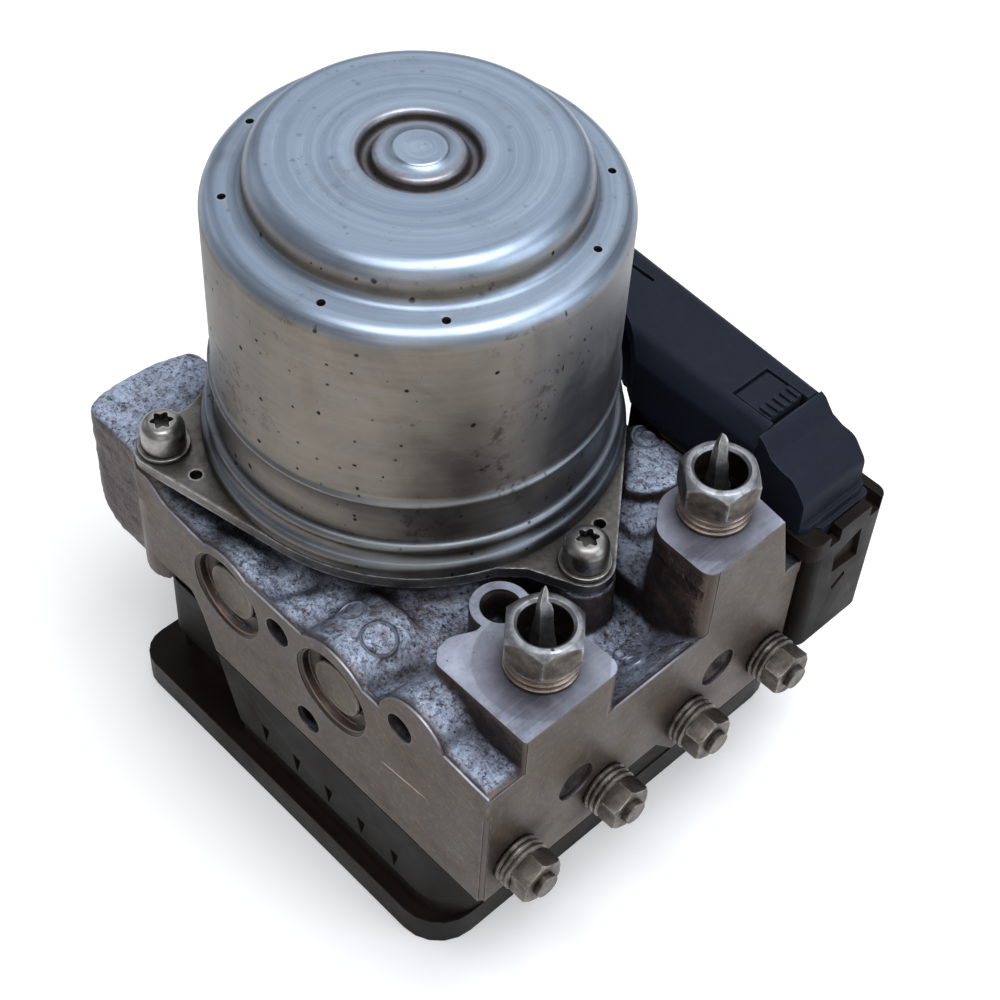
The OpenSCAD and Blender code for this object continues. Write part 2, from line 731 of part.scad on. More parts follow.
// Relief below the front face, valley by the port-side screw, slot below
module block_reliefs() {
    along_y(rounded([[-60, joint_z - 1, 0], [-60, joint_z + 15.2, 0], [-26, joint_z + 15.2, 1],
        [-21.2, joint_z + 12.4, 2], [-11.1, joint_z + 13, 2], [-8.4, joint_z + 8.6, 3],
        [-4.6, joint_z - 1, 0]]), -front_y - 1, -front_y + 4.9);
    difference() {
        along_y([[seat_r - 12, floor_z + 1], [seat_r - 12, valley_z], [port_x - 10, valley_z],
            [port_x, floor_z], [port_x + 1, floor_z + 1]],
            inlet_front[1] + 9.5, inlet_rear[1] - 11);
        cylinder(h = 200, r = seat_r);
        at_ears()
            cylinder(h = 200, r = ear_r + 0.4);
        rotate(ear_angles[0])
            translate([flange_r - 6, -ear_r + 1, 0])
                cube([ear_out + 5, 2 * ear_r - 2, 200]);
    }
    along_x([[-10.6, joint_z - 1], [-10.6, joint_z + 6.1], [-2, joint_z + 6.1],
        [3.8, joint_z - 1]], housing_right + 1.5, port_x + 1);
}

// Room above the seat for the motor's flange, and beside the shroud for its rim
module neighbour_room() {
    prism(flange_plan(side_gap), seat_z, seat_z + 40);
    translate([shroud_x0, rim_y - side_gap, shroud_z - 4.4 - side_gap])
        cube([100, 30, 60]);
}

// Cast and machined aluminium block that carries everything
module valve_block() {
    color([0.60, 0.60, 0.62]) difference() {
        union() {
            difference() {
                union() {
                    difference() {
                        union() {
                            block_slab();
                            front_humps();
                        }
                        block_reliefs();
                    }
                    inlet_pad();
                    inlet_tower();
                    mount_boss();
                    rear_hump();
                }
                neighbour_room();
            }
            motor_seat();
        }
        block_bores();
        block_ports();
        block_taps();
    }
}

// Steel cylinders of the two opposed pumps
module pump_sleeves() {
    color([0.7, 0.7, 0.72]) for (m = [0, 1])
        mirror([0, m, 0])
            difference() {
                rod_y(0, pump_z, sleeve_y0, sleeve_y1, sleeve_d / 2);
                rod_y(0, pump_z, sleeve_y0 - 1, sleeve_y1 + 1, piston_d / 2 + run_gap);
                translate([0, 0, pump_z - 20])
                    cylinder(h = 40, r = well_r);
            }
}

// Pressed plug with a raised disc, its body reaching in to the given depth
module bore_plug(x, z, side, inner) {
    face = side < 0 ? front_y : rear_y;
    translate([x, 0, z])
        rotate([side < 0 ? 90 : -90, 0, 0]) {
            translate([0, 0, inner])
                cylinder(h = face - plug_depth - inner, r = acc_d / 2 - press_gap);
            translate([0, 0, face - plug_depth - eps])
                cylinder(h = 1.1, r = plug_disc_d / 2);
            translate([0, 0, face - plug_depth + 1.08])
                cylinder(h = 0.3, r1 = plug_disc_d / 2, r2 = plug_disc_d / 2 - 0.3);
        }
}

// Plugs that close the pump bores
module pump_plugs() {
    color([0.55, 0.54, 0.52]) for (side = [-1, 1])
        bore_plug(0, pump_z, side, sleeve_y1 + eps);
}

// Plugs that close the accumulator bores
module accumulator_plugs() {
    color([0.55, 0.54, 0.52]) {
        bore_plug(acc_x, pump_z + 0.6, -1, front_y - plug_depth - acc_plug_t);
        bore_plug(acc_x, pump_z + 0.6, 1, rear_y - plug_depth - acc_plug_t);
    }
}

// Pump piston with a rounded inner end, for one side of the shaft
module pump_piston(m) {
    color([0.78, 0.78, 0.8]) mirror([0, m, 0])
        translate([0, reach, pump_z])
            rotate([-90, 0, 0])
                rotate_extrude()
                    polygon([[0, 0], [piston_d / 2 - 0.8, 0], [piston_d / 2, 0.8],
                        [piston_d / 2, piston_l - 0.4], [piston_d / 2 - 0.4, piston_l], [0, piston_l]]);
}

// Spring behind a pump piston
module pump_spring(m) {
    color([0.7, 0.7, 0.72]) mirror([0, m, 0])
        translate([0, reach + piston_l, pump_z])
            rotate([-90, 0, 0])
                coil_spring(piston_d / 2 - 0.9, 0.35, sleeve_y1 - reach - piston_l, 4);
}

module pump_piston_front() {
    pump_piston(1);
}

module pump_piston_rear() {
    pump_piston(0);
}

module pump_spring_front() {
    pump_spring(1);
}

module pump_spring_rear() {
    pump_spring(0);
}

// Accumulator piston with a seal groove and a spring cup
module accumulator_piston(m) {
    r = acc_d / 2 - run_gap;
    color([0.66, 0.66, 0.68]) mirror([0, m, 0])
        translate([acc_x, acc_y0 + 0.3, pump_z + 0.6])
            rotate([-90, 0, 0])
                rotate_extrude()
                    polygon([[0, 0], [r - 0.6, 0], [r, 0.6], [r, 2], [r - 1.4, 2], [r - 1.4, 4],
                        [r, 4], [r, acc_piston_l], [r - 1.6, acc_piston_l], [r - 1.6, 5], [0, 5]]);
}

// Seal ring in the groove of an accumulator piston
module accumulator_seal(m) {
    r = acc_d / 2 - run_gap;
    color([0.12, 0.12, 0.12]) mirror([0, m, 0])
        translate([acc_x, acc_y0 + 2.35, pump_z + 0.6])
            rotate([-90, 0, 0])
                difference() {
                    cylinder(h = 1.9, r = r);
                    translate([0, 0, -1])
                        cylinder(h = 4, r = r - 1.4 + press_gap);
                }
}

// Accumulator spring between piston cup and plug
module accumulator_spring(m, face) {
    y0 = acc_y0 + 5.3;
    color([0.7, 0.7, 0.72]) mirror([0, m, 0])
        translate([acc_x, y0, pump_z + 0.6])
            rotate([-90, 0, 0])
                coil_spring(acc_d / 2 - 2.6, 0.55, face - plug_depth - acc_plug_t - y0, 5);
}

module accumulator_piston_front() {
    accumulator_piston(1);
}

module accumulator_piston_rear() {
    accumulator_piston(0);
}

module accumulator_seal_front() {
    accumulator_seal(1);
}

module accumulator_seal_rear() {
    accumulator_seal(0);
}

module accumulator_spring_front() {
    accumulator_spring(1, front_y);
}

module accumulator_spring_rear() {
    accumulator_spring(0, rear_y);
}

// Pressed plugs that close the cross drillings on the port face
module gallery_plugs() {
    color([0.35, 0.34, 0.33]) for (y = gallery_ys)
        difference() {
            rod_x(y, gallery_z, port_x - 5 + eps, port_x - 0.6, ball_plug_d / 2);
            translate([port_x + 3.6, y, gallery_z])
                sphere(4.8, $fn = 32);
        }
}

// Pipe nuts of the two inlets: thread, collar and hexagon
module inlet_nuts() {
    color([0.62, 0.57, 0.42]) for (i = [0, 1])
        translate(inlets[i])
            rotate(inlet_turns[i])
                difference() {
                    union() {
                        translate([0, 0, -10])
                            cylinder(h = 10 + eps, r = inlet_thread_d / 2);
                        for (z = [0, 1.15])
                            translate([0, 0, z])
                                rotate_extrude()
                                    polygon([[0, 0], [inlet_thread_d / 2 + 0.1, 0],
                                        [inlet_thread_d / 2 + 0.6, 0.3], [inlet_thread_d / 2 + 0.6, 0.8],
                                        [inlet_thread_d / 2 + 0.1, 1.15 + eps], [0, 1.15 + eps]]);
                        intersection() {
                            translate([0, 0, 2.3])
                                cylinder(h = inlet_nut_h - 2.3, r = inlet_af / sqrt(3), $fn = 6);
                            translate([0, 0, 2.3])
                                rotate_extrude()
                                    polygon([[0, 0], [inlet_af / 2, 0], [inlet_af / sqrt(3) + 0.1, 1],
                                        [inlet_af / sqrt(3) + 0.1, inlet_nut_h - 3.4],
                                        [inlet_af / 2 - 0.4, inlet_nut_h - 2.3], [0, inlet_nut_h - 2.3]]);
                        }
                    }
                    translate([0, 0, -6])
                        cylinder(h = inlet_nut_h + 7, r = inlet_hole_d / 2);
                    translate([0, 0, -11])
                        cylinder(h = 6, r = 3.2);
                }
}

// Cut brake pipes left in the inlet nuts, each pinched flat at its end
module inlet_pipe_stubs() {
    turns = [38, 52];
    color([0.5, 0.5, 0.5]) for (i = [0, 1])
        translate(inlets[i]) {
            difference() {
                union() {
                    translate([0, 0, -12])
                        cylinder(h = 9, r = 3.15);
                    translate([0, 0, -12])
                        cylinder(h = 2, r = 4.6);
                }
                translate([0, 0, -14])
                    cylinder(h = 10, r = 1.6);
            }
            hull() {
                translate([0, 0, -3.02])
                    cylinder(h = 1, r = 3.1, $fn = 24);
                rotate(turns[i])
                    translate([0, 0, 6])
                        cube([5.6, 1.5, 2], center = true);
            }
            rotate(turns[i])
                along_y([[-2.8, 6.5], [2.8, 6.5], [2.4, inlet_nut_h + 0.6], [0.6, inlet_nut_h + 3.6],
                    [-1.6, inlet_nut_h + 1]], -0.7, 0.7);
        }
}

// Profile of a pipe nut: threads, neck and chamfered hexagon
module outlet_nuts() {
    r = outlet_thread_d / 2;
    a = outlet_af / sqrt(3);
    color([0.45, 0.42, 0.36]) for (y = outlet_ys)
        translate([port_x, y, outlet_z])
            rotate([0, 90, 0])
                difference() {
                    union() {
                        translate([0, 0, -9])
                            cylinder(h = 9 + eps, r = r);
                        for (z = [0, 1.15, 2.3])
                            translate([0, 0, z])
                                rotate_extrude()
                                    polygon([[0, 0], [r - 0.4, 0], [r, 0.35], [r, 0.8],
                                        [r - 0.4, 1.15 + eps], [0, 1.15 + eps]]);
                        intersection() {
                            translate([0, 0, 3.4])
                                cylinder(h = 3.9, r = a, $fn = 6);
                            translate([0, 0, 3.4])
                                rotate_extrude()
                                    polygon([[0, 0], [a - 0.3, 0], [a + 0.1, 0.5], [a + 0.1, 3.3],
                                        [a - 0.5, 3.9], [0, 3.9]]);
                        }
                    }
                    translate([0, 0, -10])
                        cylinder(h = 20, r = 2.45);
                }
}

// Cut brake pipes left in the outlet nuts
module outlet_pipe_stubs() {
    color([0.3, 0.29, 0.28]) for (y = outlet_ys)
        difference() {
            rod_x(y, outlet_z, port_x - 9.9, port_x + 8.6, 2.4);
            rod_x(y, outlet_z, port_x - 11, port_x + 6.5, 1.4);
        }
}

// Valve cartridges pressed into the joint face, each with a domed tube
module valve_cartridges() {
    color([0.68, 0.68, 0.70]) for (v = valves)
        translate([v[0], v[1], joint_z]) {
            cylinder(h = 11.6, r = valve_d / 2);
            translate([0, 0, -14])
                cylinder(h = 14 + eps, r = 3.6);
            translate([0, 0, -14])
                sphere(3.6, $fn = 32);
        }
}

// Solenoid coils around the valve tubes, with pins down to the board
module solenoid_coils() {
    z0 = board_z + board_t + 3.4;
    z1 = joint_z - side_gap;
    color([0.3, 0.32, 0.3]) for (v = valves)
        translate([v[0], v[1], 0]) {
            difference() {
                translate([0, 0, z0])
                    rotate_extrude()
                        polygon([[3.8, 0], [coil_d / 2, 0], [coil_d / 2, 1.6], [coil_d / 2 - 1, 1.6],
                            [coil_d / 2 - 1, z1 - z0 - 1.6], [coil_d / 2, z1 - z0 - 1.6],
                            [coil_d / 2, z1 - z0], [3.8, z1 - z0]]);
            }
            for (x = [-6, 6])
                translate([x, 0, board_z + board_t])
                    cylinder(h = 4, r = 0.4);
        }
}

// Plan of the housing wall, drawn in by the given distance
function housing_plan(d) = rounded([[-housing_left + d, -front_y + 4.9 + d, 5],
    [1, -front_y + 4.9 + d, 0], [1, -front_y + d, 0],
    [housing_right - d, -front_y + d, max(corner_r - d, 1)],
    [housing_right - d, housing_rear - d, max(corner_r - d, 1)],
    [-housing_left + d, housing_rear - d, max(corner_r - d, 1)]]);

// Plan of the housing's cavity
function cavity_plan() = rounded([[-housing_left + wall, -front_y + 4.9 + wall, 4],
    [6, -front_y + 4.9 + wall, 0], [6, -front_y + wall, 1],
    [housing_right - wall, -front_y + wall, corner_r - wall],
    [housing_right - wall, housing_rear - wall, corner_r - wall],
    [-housing_left + wall, housing_rear - wall, corner_r - wall]]);

// Moulded housing: walls, screw columns, deck and the connector shroud
module ecu_housing() {
    top = joint_z - gasket_t;
    color([0.10, 0.10, 0.11]) difference() {
        union() {
            // Wall with a step to the drawn-in lower band
            prism(housing_plan(0), lid_h + 5.6, top);
            prism(housing_plan(0.8), lid_h, lid_h + 6);
            // Slanted end of the raised front panel
            along_y([[1.5, top], [-4.8, top], [1, lid_h + 5.6], [1.5, lid_h + 5.6]],
                -front_y, -front_y + 5);
            // Deck behind the casting
            intersection() {
                prism(housing_plan(0), top - 1, deck_z);
                translate([deck_x0, shroud_y0, 0])
                    cube([100, 60, 100]);
            }
            // Connector shroud with its rim
            prism(box_plan(shroud_x0, shroud_y0, shroud_x1, shroud_y1, 2.5), deck_z - 2.4, shroud_z);
            prism(box_plan(shroud_x0 + 9, rim_y, shroud_x1, shroud_y1, 2.5),
                shroud_z - 4.4, shroud_z);
            // Rib below the shroud's overhang
            along_y([[housing_right - 1, joint_z - 9], [housing_right - 1, deck_z],
                [shroud_x1 - 1, deck_z], [shroud_x1 - 1, deck_z - 2.4]], shroud_y0 + 3, shroud_y0 + 9);
        }
        // Cavity for the coils and the board
        difference() {
            prism(cavity_plan(), lid_h - 1, top + 1);
            for (c = columns)
                translate([c[0], c[1], 0])
                    cylinder(h = 60, r = column_r);
            // Ribs that tie the columns to the walls
            translate([columns[1][0], columns[0][1] - 0.8, top - 8])
                cube([80, 1.6, 12]);
            translate([-housing_left, columns[2][1] - 0.8, top - 8])
                cube([housing_left + columns[2][0], 1.6, 12]);
            translate([columns[3][0], columns[3][1] - 0.8, top - 8])
                cube([20, 1.6, 12]);
            // Beam below the rear edge of the casting
            translate([deck_x0 - 2, rear_y - 2.4, top - 4.4])
                cube([100, 2.8 + wall, 8]);
        }
        intersection() {
            prism(cavity_plan(), top - 5, deck_z - 2.4);
            translate([deck_x0 + wall, shroud_y0 + wall, 0])
                cube([100, 60, 100]);
        }
        prism(block_plan(-side_gap), top, top + 1);
        for (c = columns) {
            translate([c[0], c[1], -1])
                cylinder(h = 60, r = ecu_screw_d / 2 + 0.2);
            translate([c[0], c[1], 0])
                cylinder(h = board_z + board_t, r = column_r + 0.2);
        }
        // Socket
        prism(box_plan(socket_x0, socket_y0, socket_x1, socket_y1, 1.5), deck_z, shroud_z + 1);
        for (p = pins)
            translate([p[0] - 0.32 - press_gap, p[1] - 0.32 - press_gap, deck_z - 5])
                cube([0.64 + 2 * press_gap, 0.64 + 2 * press_gap, 6]);
        // Window and slots in the right face of the shroud
        along_x([[39.6, shroud_z - 7.4], [46.9, shroud_z - 4.8], [47.6, shroud_z - 13.3],
            [40.1, shroud_z - 12.5]], shroud_x1 - 1.2, shroud_x1 + 1);
        along_x([[41.4, shroud_z - 18], [44.6, shroud_z - 15.6], [45.2, shroud_z - 17.2],
            [42, shroud_z - 19.4]], shroud_x1 - 1.2, shroud_x1 + 1);
        for (y = [37, 48.5])
            translate([shroud_x1 - 4.5, y, shroud_z - 3])
                cube([5, 3, 4]);
        // Small three-cornered dents along the front panel
        for (i = [0:4])
            along_y([[7.8 + 9.3 * i, joint_z - 10.9], [10.2 + 9.3 * i, joint_z - 10.9],
                [9 + 9.3 * i, joint_z - 15.9]], -front_y - 1, -front_y + 0.9);
    }
}

// Tray lid with pads that carry the board
function lid_room(d) = rounded([[-housing_left + d, -front_y + 4.9 + d, 4],
    [housing_right - d, -front_y + 4.9 + d, corner_r - d],
    [housing_right - d, housing_rear - d, corner_r - d],
    [-housing_left + d, housing_rear - d, corner_r - d]]);

module ecu_lid() {
    plan = rounded([[-housing_left - 2, -front_y - lid_lip, 6],
        [housing_right - 0.5, -front_y - lid_lip, corner_r],
        [housing_right - 0.5, housing_rear + 0.5, corner_r],
        [-housing_left - 2, housing_rear + 0.5, corner_r]]);
    color([0.11, 0.11, 0.12]) difference() {
        union() {
            difference() {
                prism(plan, 0, lid_h);
                prism(lid_room(wall), wall, lid_h + 1);
            }
            intersection() {
                prism(lid_room(wall + 0.2), 0, board_z);
                for (c = columns)
                    translate([c[0], c[1], 0])
                        cylinder(h = board_z, r = 5.4);
            }
        }
        for (c = columns) {
            translate([c[0], c[1], -1])
                cylinder(h = 20, r = ecu_screw_d / 2 + 0.2);
            translate([c[0], c[1], -1])
                cylinder(h = 4.4, r = 4);
        }
    }
}

// Flat gasket between housing and casting
module ecu_gasket() {
    color([0.06, 0.06, 0.06]) intersection() {
        difference() {
            prism(housing_plan(0.6), joint_z - gasket_t, joint_z);
            difference() {
                prism(cavity_plan(), joint_z - 1, joint_z + 1);
                translate([deck_x0 - 2, rear_y - 2.4, joint_z - 1])
                    cube([100, 20, 2]);
            }
            for (c = columns)
                translate([c[0], c[1], joint_z - 1])
                    cylinder(h = 2, r = ecu_screw_d / 2 + 0.2);
        }
        prism(block_plan(0.3), joint_z - 1, joint_z + 1);
    }
}

// Long screws that hold lid, board and housing to the casting
module ecu_screws() {
    color([0.5, 0.5, 0.5]) for (c = columns)
        translate([c[0], c[1], 0]) difference() {
            union() {
                translate([0, 0, 0.8])
                    cylinder(h = 2.6, r = 3.6);
                translate([0, 0, 3])
                    cylinder(h = joint_z + 4, r = ecu_screw_d / 2);
            }
            translate([0, 0, 0.4])
                cylinder(h = 2, r = 1.6, $fn = 6);
        }
}

// Circuit board clamped between lid pads and housing columns
module circuit_board() {
    color([0.08, 0.30, 0.16]) difference() {
        prism(rounded([[-housing_left + wall + 0.4, -front_y + 5.3 + wall, 4],
            [housing_right - wall - 0.4, -front_y + 5.3 + wall, corner_r - wall],
            [housing_right - wall - 0.4, housing_rear - wall - 0.4, corner_r - wall],
            [-housing_left + wall + 0.4, housing_rear - wall - 0.4, corner_r - wall]]),
            board_z, board_z + board_t);
        for (c = columns)
            translate([c[0], c[1], board_z - 1])
                cylinder(h = board_t + 2, r = ecu_screw_d / 2 + 0.2);
    }
}

// Parts soldered to the board
module board_parts() {
    z = board_z + board_t;
    color([0.12, 0.12, 0.13]) {
        translate([8, -12, z])
            cube([14, 14, 1.6]);
        translate([26, -11, z])
            cube([10, 7, 1.4]);
        translate([-2, 29, z])
            cube([9, 7, 2.4]);
        translate([16, 33, z])
            cylinder(h = 12, r = 5);
        translate([42, -6, z])
            cylinder(h = 9, r = 4);
    }
}

// Connector pins from the board up into the socket
module header_pins() {
    color([0.76, 0.72, 0.58]) for (p = pins)
        translate([p[0] - 0.32, p[1] - 0.32, board_z + board_t])
            cube([0.64, 0.64, deck_z + pin_rise - board_z - board_t]);
}

// Harness plug: insert with pin holes, seal groove, flange and end block
module plug_body() {
    g = side_gap;
    seal_z = shroud_z - 12;
    color([0.12, 0.13, 0.15]) difference() {
        union() {
            prism(box_plan(socket_x0 + g, socket_y0 + g, socket_x1 - g, socket_y1 - g, 1.2),
                deck_z + 0.3, shroud_z + eps);
            prism(box_plan(shroud_x0 + 4, shroud_y0 - 1.6, shroud_x1 - 3.5, socket_y1 - 0.6, 1.8),
                shroud_z, shroud_z + 2);
            along_y(rounded([[cover_x1 + 0.2, shroud_z + 1, 0],
                [cover_x1 + 0.2, shroud_z + cover_h - 0.6, 0],
                [cover_x1 + 1.4, shroud_z + cover_h - 1.2, 0.5],
                [cover_x1 + 3.6, shroud_z + end_block_h + 1, 1],
                [cover_x1 + 6.2, shroud_z + end_block_h, 1.5],
                [shroud_x1 - 8, shroud_z + end_block_h - 0.2, 3], [shroud_x1 - 4.6, shroud_z + 8, 3],
                [shroud_x1 - 4.4, shroud_z + 1, 0]]), shroud_y0 - 1.6, socket_y1 - 1.6);
        }
        for (p = pins)
            translate([p[0] - 0.5, p[1] - 0.5, deck_z - 1])
                cube([1, 1, 15]);
        difference() {
            prism(box_plan(socket_x0 - 1, socket_y0 - 1, socket_x1 + 1, socket_y1 + 1, 1),
                seal_z, seal_z + 3);
            prism(box_plan(socket_x0 + g + 1.2, socket_y0 + g + 1.2, socket_x1 - g - 1.2,
                socket_y1 - g - 1.2, 1), seal_z - 1, seal_z + 4);
        }
    }
}

// Rubber ring in the plug's groove
module plug_seal() {
    g = side_gap;
    seal_z = shroud_z - 12;
    color([0.35, 0.16, 0.10]) difference() {
        prism(box_plan(socket_x0 + 0.01, socket_y0 + 0.01, socket_x1 - 0.01, socket_y1 - 0.01, 1.5),
            seal_z + 0.02, seal_z + 2.98);
        prism(box_plan(socket_x0 + g + 1.19, socket_y0 + g + 1.19, socket_x1 - g - 1.19,
            socket_y1 - g - 1.19, 1), seal_z - 1, seal_z + 4);
    }
}

// Profile of the wire cover across its length, drawn in by d, back wall moved out
function cover_profile(d, back) = rounded([[shroud_y0 - 2 + d, shroud_z + 2 - (d > 0 ? 0.1 : 0), 0],
    [shroud_y0 - 2 + d, shroud_z + cover_h - 4 - d, 2], [shroud_y0 + 1 + d, shroud_z + cover_h - d, 2.5],
    [shroud_y1 - 4 - d + back, shroud_z + cover_h - d, 2.5],
    [shroud_y1 - 2.6 - d + back, shroud_z + 8, 2],
    [shroud_y1 - 2.6 - d + back, shroud_z + 2 - (d > 0 ? 0.1 : 0), 0]]);

// Length of the hood from x0 to x1, whose back wall flares toward the left
module cover_length(d, x0, x1) {
    hull()
        for (x = [x0, x1 - 0.1])
            along_x(cover_profile(d, cover_flare * (cover_x1 - x) / (cover_x1 - cover_x0)), x, x + 0.1);
}

// Wire cover of the plug: a long hood that clears the motor can
module wire_cover() {
    z1 = shroud_z + cover_h;
    color([0.13, 0.15, 0.19]) difference() {
        cover_length(0, cover_x0, cover_x1);
        cover_length(2, cover_x0 - 1, cover_x1 - 2);
        translate([0, 0, shroud_z])
            cylinder(h = 40, r = rim_r + 1.2);
        translate([latch[0] - 0.4, latch[1] - 0.4, z1 - 3])
            cube([latch[2] - latch[0] + 2, latch[3] - latch[1] + 0.8, 4]);
        translate([9, 46.8, z1 - 1])
            cube([6, 0.8, 2]);
    }
}

// Sprung release tongue in the top of the wire cover, with finger ribs
module plug_latch() {
    z1 = shroud_z + cover_h;
    color([0.12, 0.14, 0.17]) {
        // Round root that the tongue swings about
        rod_y(latch[0] + 0.7, z1 - 1.15, latch[1], latch[3], 0.95);
        translate([latch[0] + 0.7, latch[1], z1 - 2.1])
            cube([latch[2] - latch[0] - 1.7, latch[3] - latch[1], 1.9]);
        for (i = [0:4])
            translate([latch[2] - 4, latch[1] + 0.4 + 1.8 * i, z1 - 1])
                cube([3, 0.9, 1.5]);
    }
}

motor_can();
motor_flange();
motor_screws();
screw_washers();
motor_magnets();
brush_plate();
carbon_brushes();
brush_springs();
motor_terminals();
top_bush();
bearing_outer_race();
bearing_inner_race();
bearing_balls();
rotor_shaft();
armature_core();
armature_windings();
commutator();
pump_eccentric();
eccentric_ring();
valve_block();
pump_sleeves();
pump_plugs();
pump_piston_front();
pump_piston_rear();
pump_spring_front();
pump_spring_rear();
accumulator_plugs();
accumulator_piston_front();
accumulator_piston_rear();
accumulator_spring_front();
accumulator_spring_rear();
accumulator_seal_front();
accumulator_seal_rear();
gallery_plugs();
inlet_nuts();
inlet_pipe_stubs();
outlet_nuts();
outlet_pipe_stubs();
valve_cartridges();
solenoid_coils();
ecu_housing();
ecu_lid();
ecu_gasket();
ecu_screws();
circuit_board();
board_parts();
header_pins();
plug_body();
wire_cover();
plug_latch();
plug_seal();
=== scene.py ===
"""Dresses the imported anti-lock brake module in detailed pieces and worn finishes."""

import json
import math

import bmesh
import bpy
from bpy.props import FloatProperty, FloatVectorProperty, IntProperty, PointerProperty
from mathutils import Matrix, Vector, noise


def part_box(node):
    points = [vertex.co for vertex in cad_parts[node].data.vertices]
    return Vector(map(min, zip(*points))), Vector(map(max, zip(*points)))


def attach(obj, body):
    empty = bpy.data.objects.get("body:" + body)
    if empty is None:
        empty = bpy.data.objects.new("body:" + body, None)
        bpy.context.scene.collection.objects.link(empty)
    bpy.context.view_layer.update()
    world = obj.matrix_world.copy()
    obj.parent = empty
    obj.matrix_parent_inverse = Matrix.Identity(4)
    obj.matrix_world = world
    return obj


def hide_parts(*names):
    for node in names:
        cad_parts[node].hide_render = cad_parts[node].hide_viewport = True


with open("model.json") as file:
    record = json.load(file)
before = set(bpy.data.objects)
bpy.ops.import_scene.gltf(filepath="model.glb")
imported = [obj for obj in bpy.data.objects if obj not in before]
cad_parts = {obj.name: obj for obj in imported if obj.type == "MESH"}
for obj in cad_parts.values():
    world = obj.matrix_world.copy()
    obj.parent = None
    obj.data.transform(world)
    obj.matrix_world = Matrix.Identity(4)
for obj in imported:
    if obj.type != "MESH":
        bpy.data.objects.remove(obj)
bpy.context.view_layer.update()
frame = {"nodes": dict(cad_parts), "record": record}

bl_info = {
    "name": "Brake Module Dress",
    "version": (1, 0, 0),
    "blender": (4, 5, 0),
    "location": "View3D > Sidebar > Brake Module",
    "description": "Detailed pieces and worn finishes for an anti-lock brake module",
    "category": "Object",
}

MM = 0.001
ROOT_BODY = "modulator"

# Upright pipe nuts: centre, pad height and nut height in millimetres, and turn in degrees
INLET_NUTS = ((59.0, -25.0, 71.75, 11.05, 43), (58.6, 16.9, 78.3, 10.9, -7))
TEAR_SEEDS = (3, 8)

# Raised rings on the casting's low top, in millimetres: centre and radius, then their rise and
# width, and the height that the low top stays under
CAST_RINGS = ((24.4, -36.9, 2.5), (32.5, -37.5, 3.2), (58.6, -3.1, 1.1), (61.6, -3.4, 1.3),
              (32.6, 29.5, 3.1), (32.6, 29.5, 1.1))
RING_RISE, RING_WIDTH = 0.3, 0.5
LOW_TOP = 70.0

# Smooth hollows in the casting's top, in millimetres: two ends, width and depth
CAST_HOLLOWS = ((9.5, -47.0, 13.5, -37.0, 1.7, 1.7), (19.2, -47.0, 21.2, -38.0, 1.8, 1.3),
                (38.6, -46.0, 41.0, -35.0, 2.0, 1.5), (-6.5, -40.0, 2.0, -38.5, 1.6, 0.9))

# Where the casting's rough skin ends, in millimetres: at the front, the port side and both pads
FRONT_SKIN, PORT_SKIN, FRONT_PAD_SKIN, REAR_PAD_SKIN = -45.3, 68.2, 71.1, 77.6
SIDE_FADE, PAD_FADE = 1.6, 0.9
PAD_STEP = 73.0
PORT_PLANE = 68.9

# The most triangles that the casting's skin keeps
MOST_TRIANGLES = 190000

# The can: how far its button rises and its rim reaches out in millimetres, its vents' angles in
# degrees, and how far in and down from the can's corner they lie
BUTTON_RISE, RIM_REACH = 0.7, 2.85
VENT_ANGLES = [quarter + side for quarter in (37.5, 127.5, 217.5, 307.5)
               for side in (-17.7, 17.7)]
VENT_INSET, VENT_DROP = 4.05, 7.0

# Small dents in the can, in millimetres: place, reach and depth
CAN_DENTS = (((-27.6, -20.8, 122.2), 2.2, 0.35), ((-4.0, -36.5, 119.0), 1.8, 0.4),
             ((15.0, -33.5, 118.0), 1.6, 0.3), ((36.2, -6.0, 119.5), 2.0, 0.3))

# Cap screws: their angles in degrees and the radius of their circle in millimetres
SCREW_ANGLES, SCREW_CIRCLE = (-2, -121, 119), 46.6

# The CAD nodes of the two round caps in the front face
FRONT_CAPS = ("pump_plugs", "accumulator_plugs")

# Soft lamps: name, place and size in metres, power in watts and colour
LAMPS = (
    ("ceiling", (0.30, 0.16, 1.20), 0.6, 7.5, (0.94, 0.97, 1.0)),
    ("front_ceiling", (0.10, -0.32, 1.20), 0.5, 3.2, (0.96, 0.97, 1.0)),
    ("right_card", (0.95, 0.40, 0.60), 0.7, 4.2, (0.82, 0.91, 1.0)),
    ("back_card", (-0.58, 0.70, 1.05), 1.6, 6.2, (0.93, 0.96, 1.0)),
    ("left_card", (-1.0, -0.25, 0.5), 0.5, 0.5, (0.92, 0.96, 1.0)),
    ("front_card", (0.75, -0.80, 0.6), 0.7, 1.8, (1.0, 0.92, 0.83)),
)
LAMP_AIM = (0, 0, 0.06)

# The photograph's camera: degrees down, round Z and of roll, and its place in metres
CAMERA_ANGLES = (49.22, 43.17, 4.12)
CAMERA_PLACE = (0.1869, -0.1742, 0.3400)


# Mesh tools


def at(x, y, z):
    """A place given in millimetres, in metres."""
    return Vector((x, y, z)) * MM


def from_cad(node):
    """A copy of a CAD node, its vertices merged where they meet."""
    bm = bmesh.new()
    bm.from_mesh(frame["nodes"][node].data)
    bmesh.ops.remove_doubles(bm, verts=bm.verts, dist=0.002 * MM)
    return bm


def whole_faces(bm, degrees=0.4):
    """Joins coplanar triangles, so that a bevel meets real edges only."""
    bmesh.ops.dissolve_limit(
        bm, angle_limit=math.radians(degrees), use_dissolve_boundaries=False,
        verts=bm.verts, edges=bm.edges, delimit={"NORMAL"})
    return bm


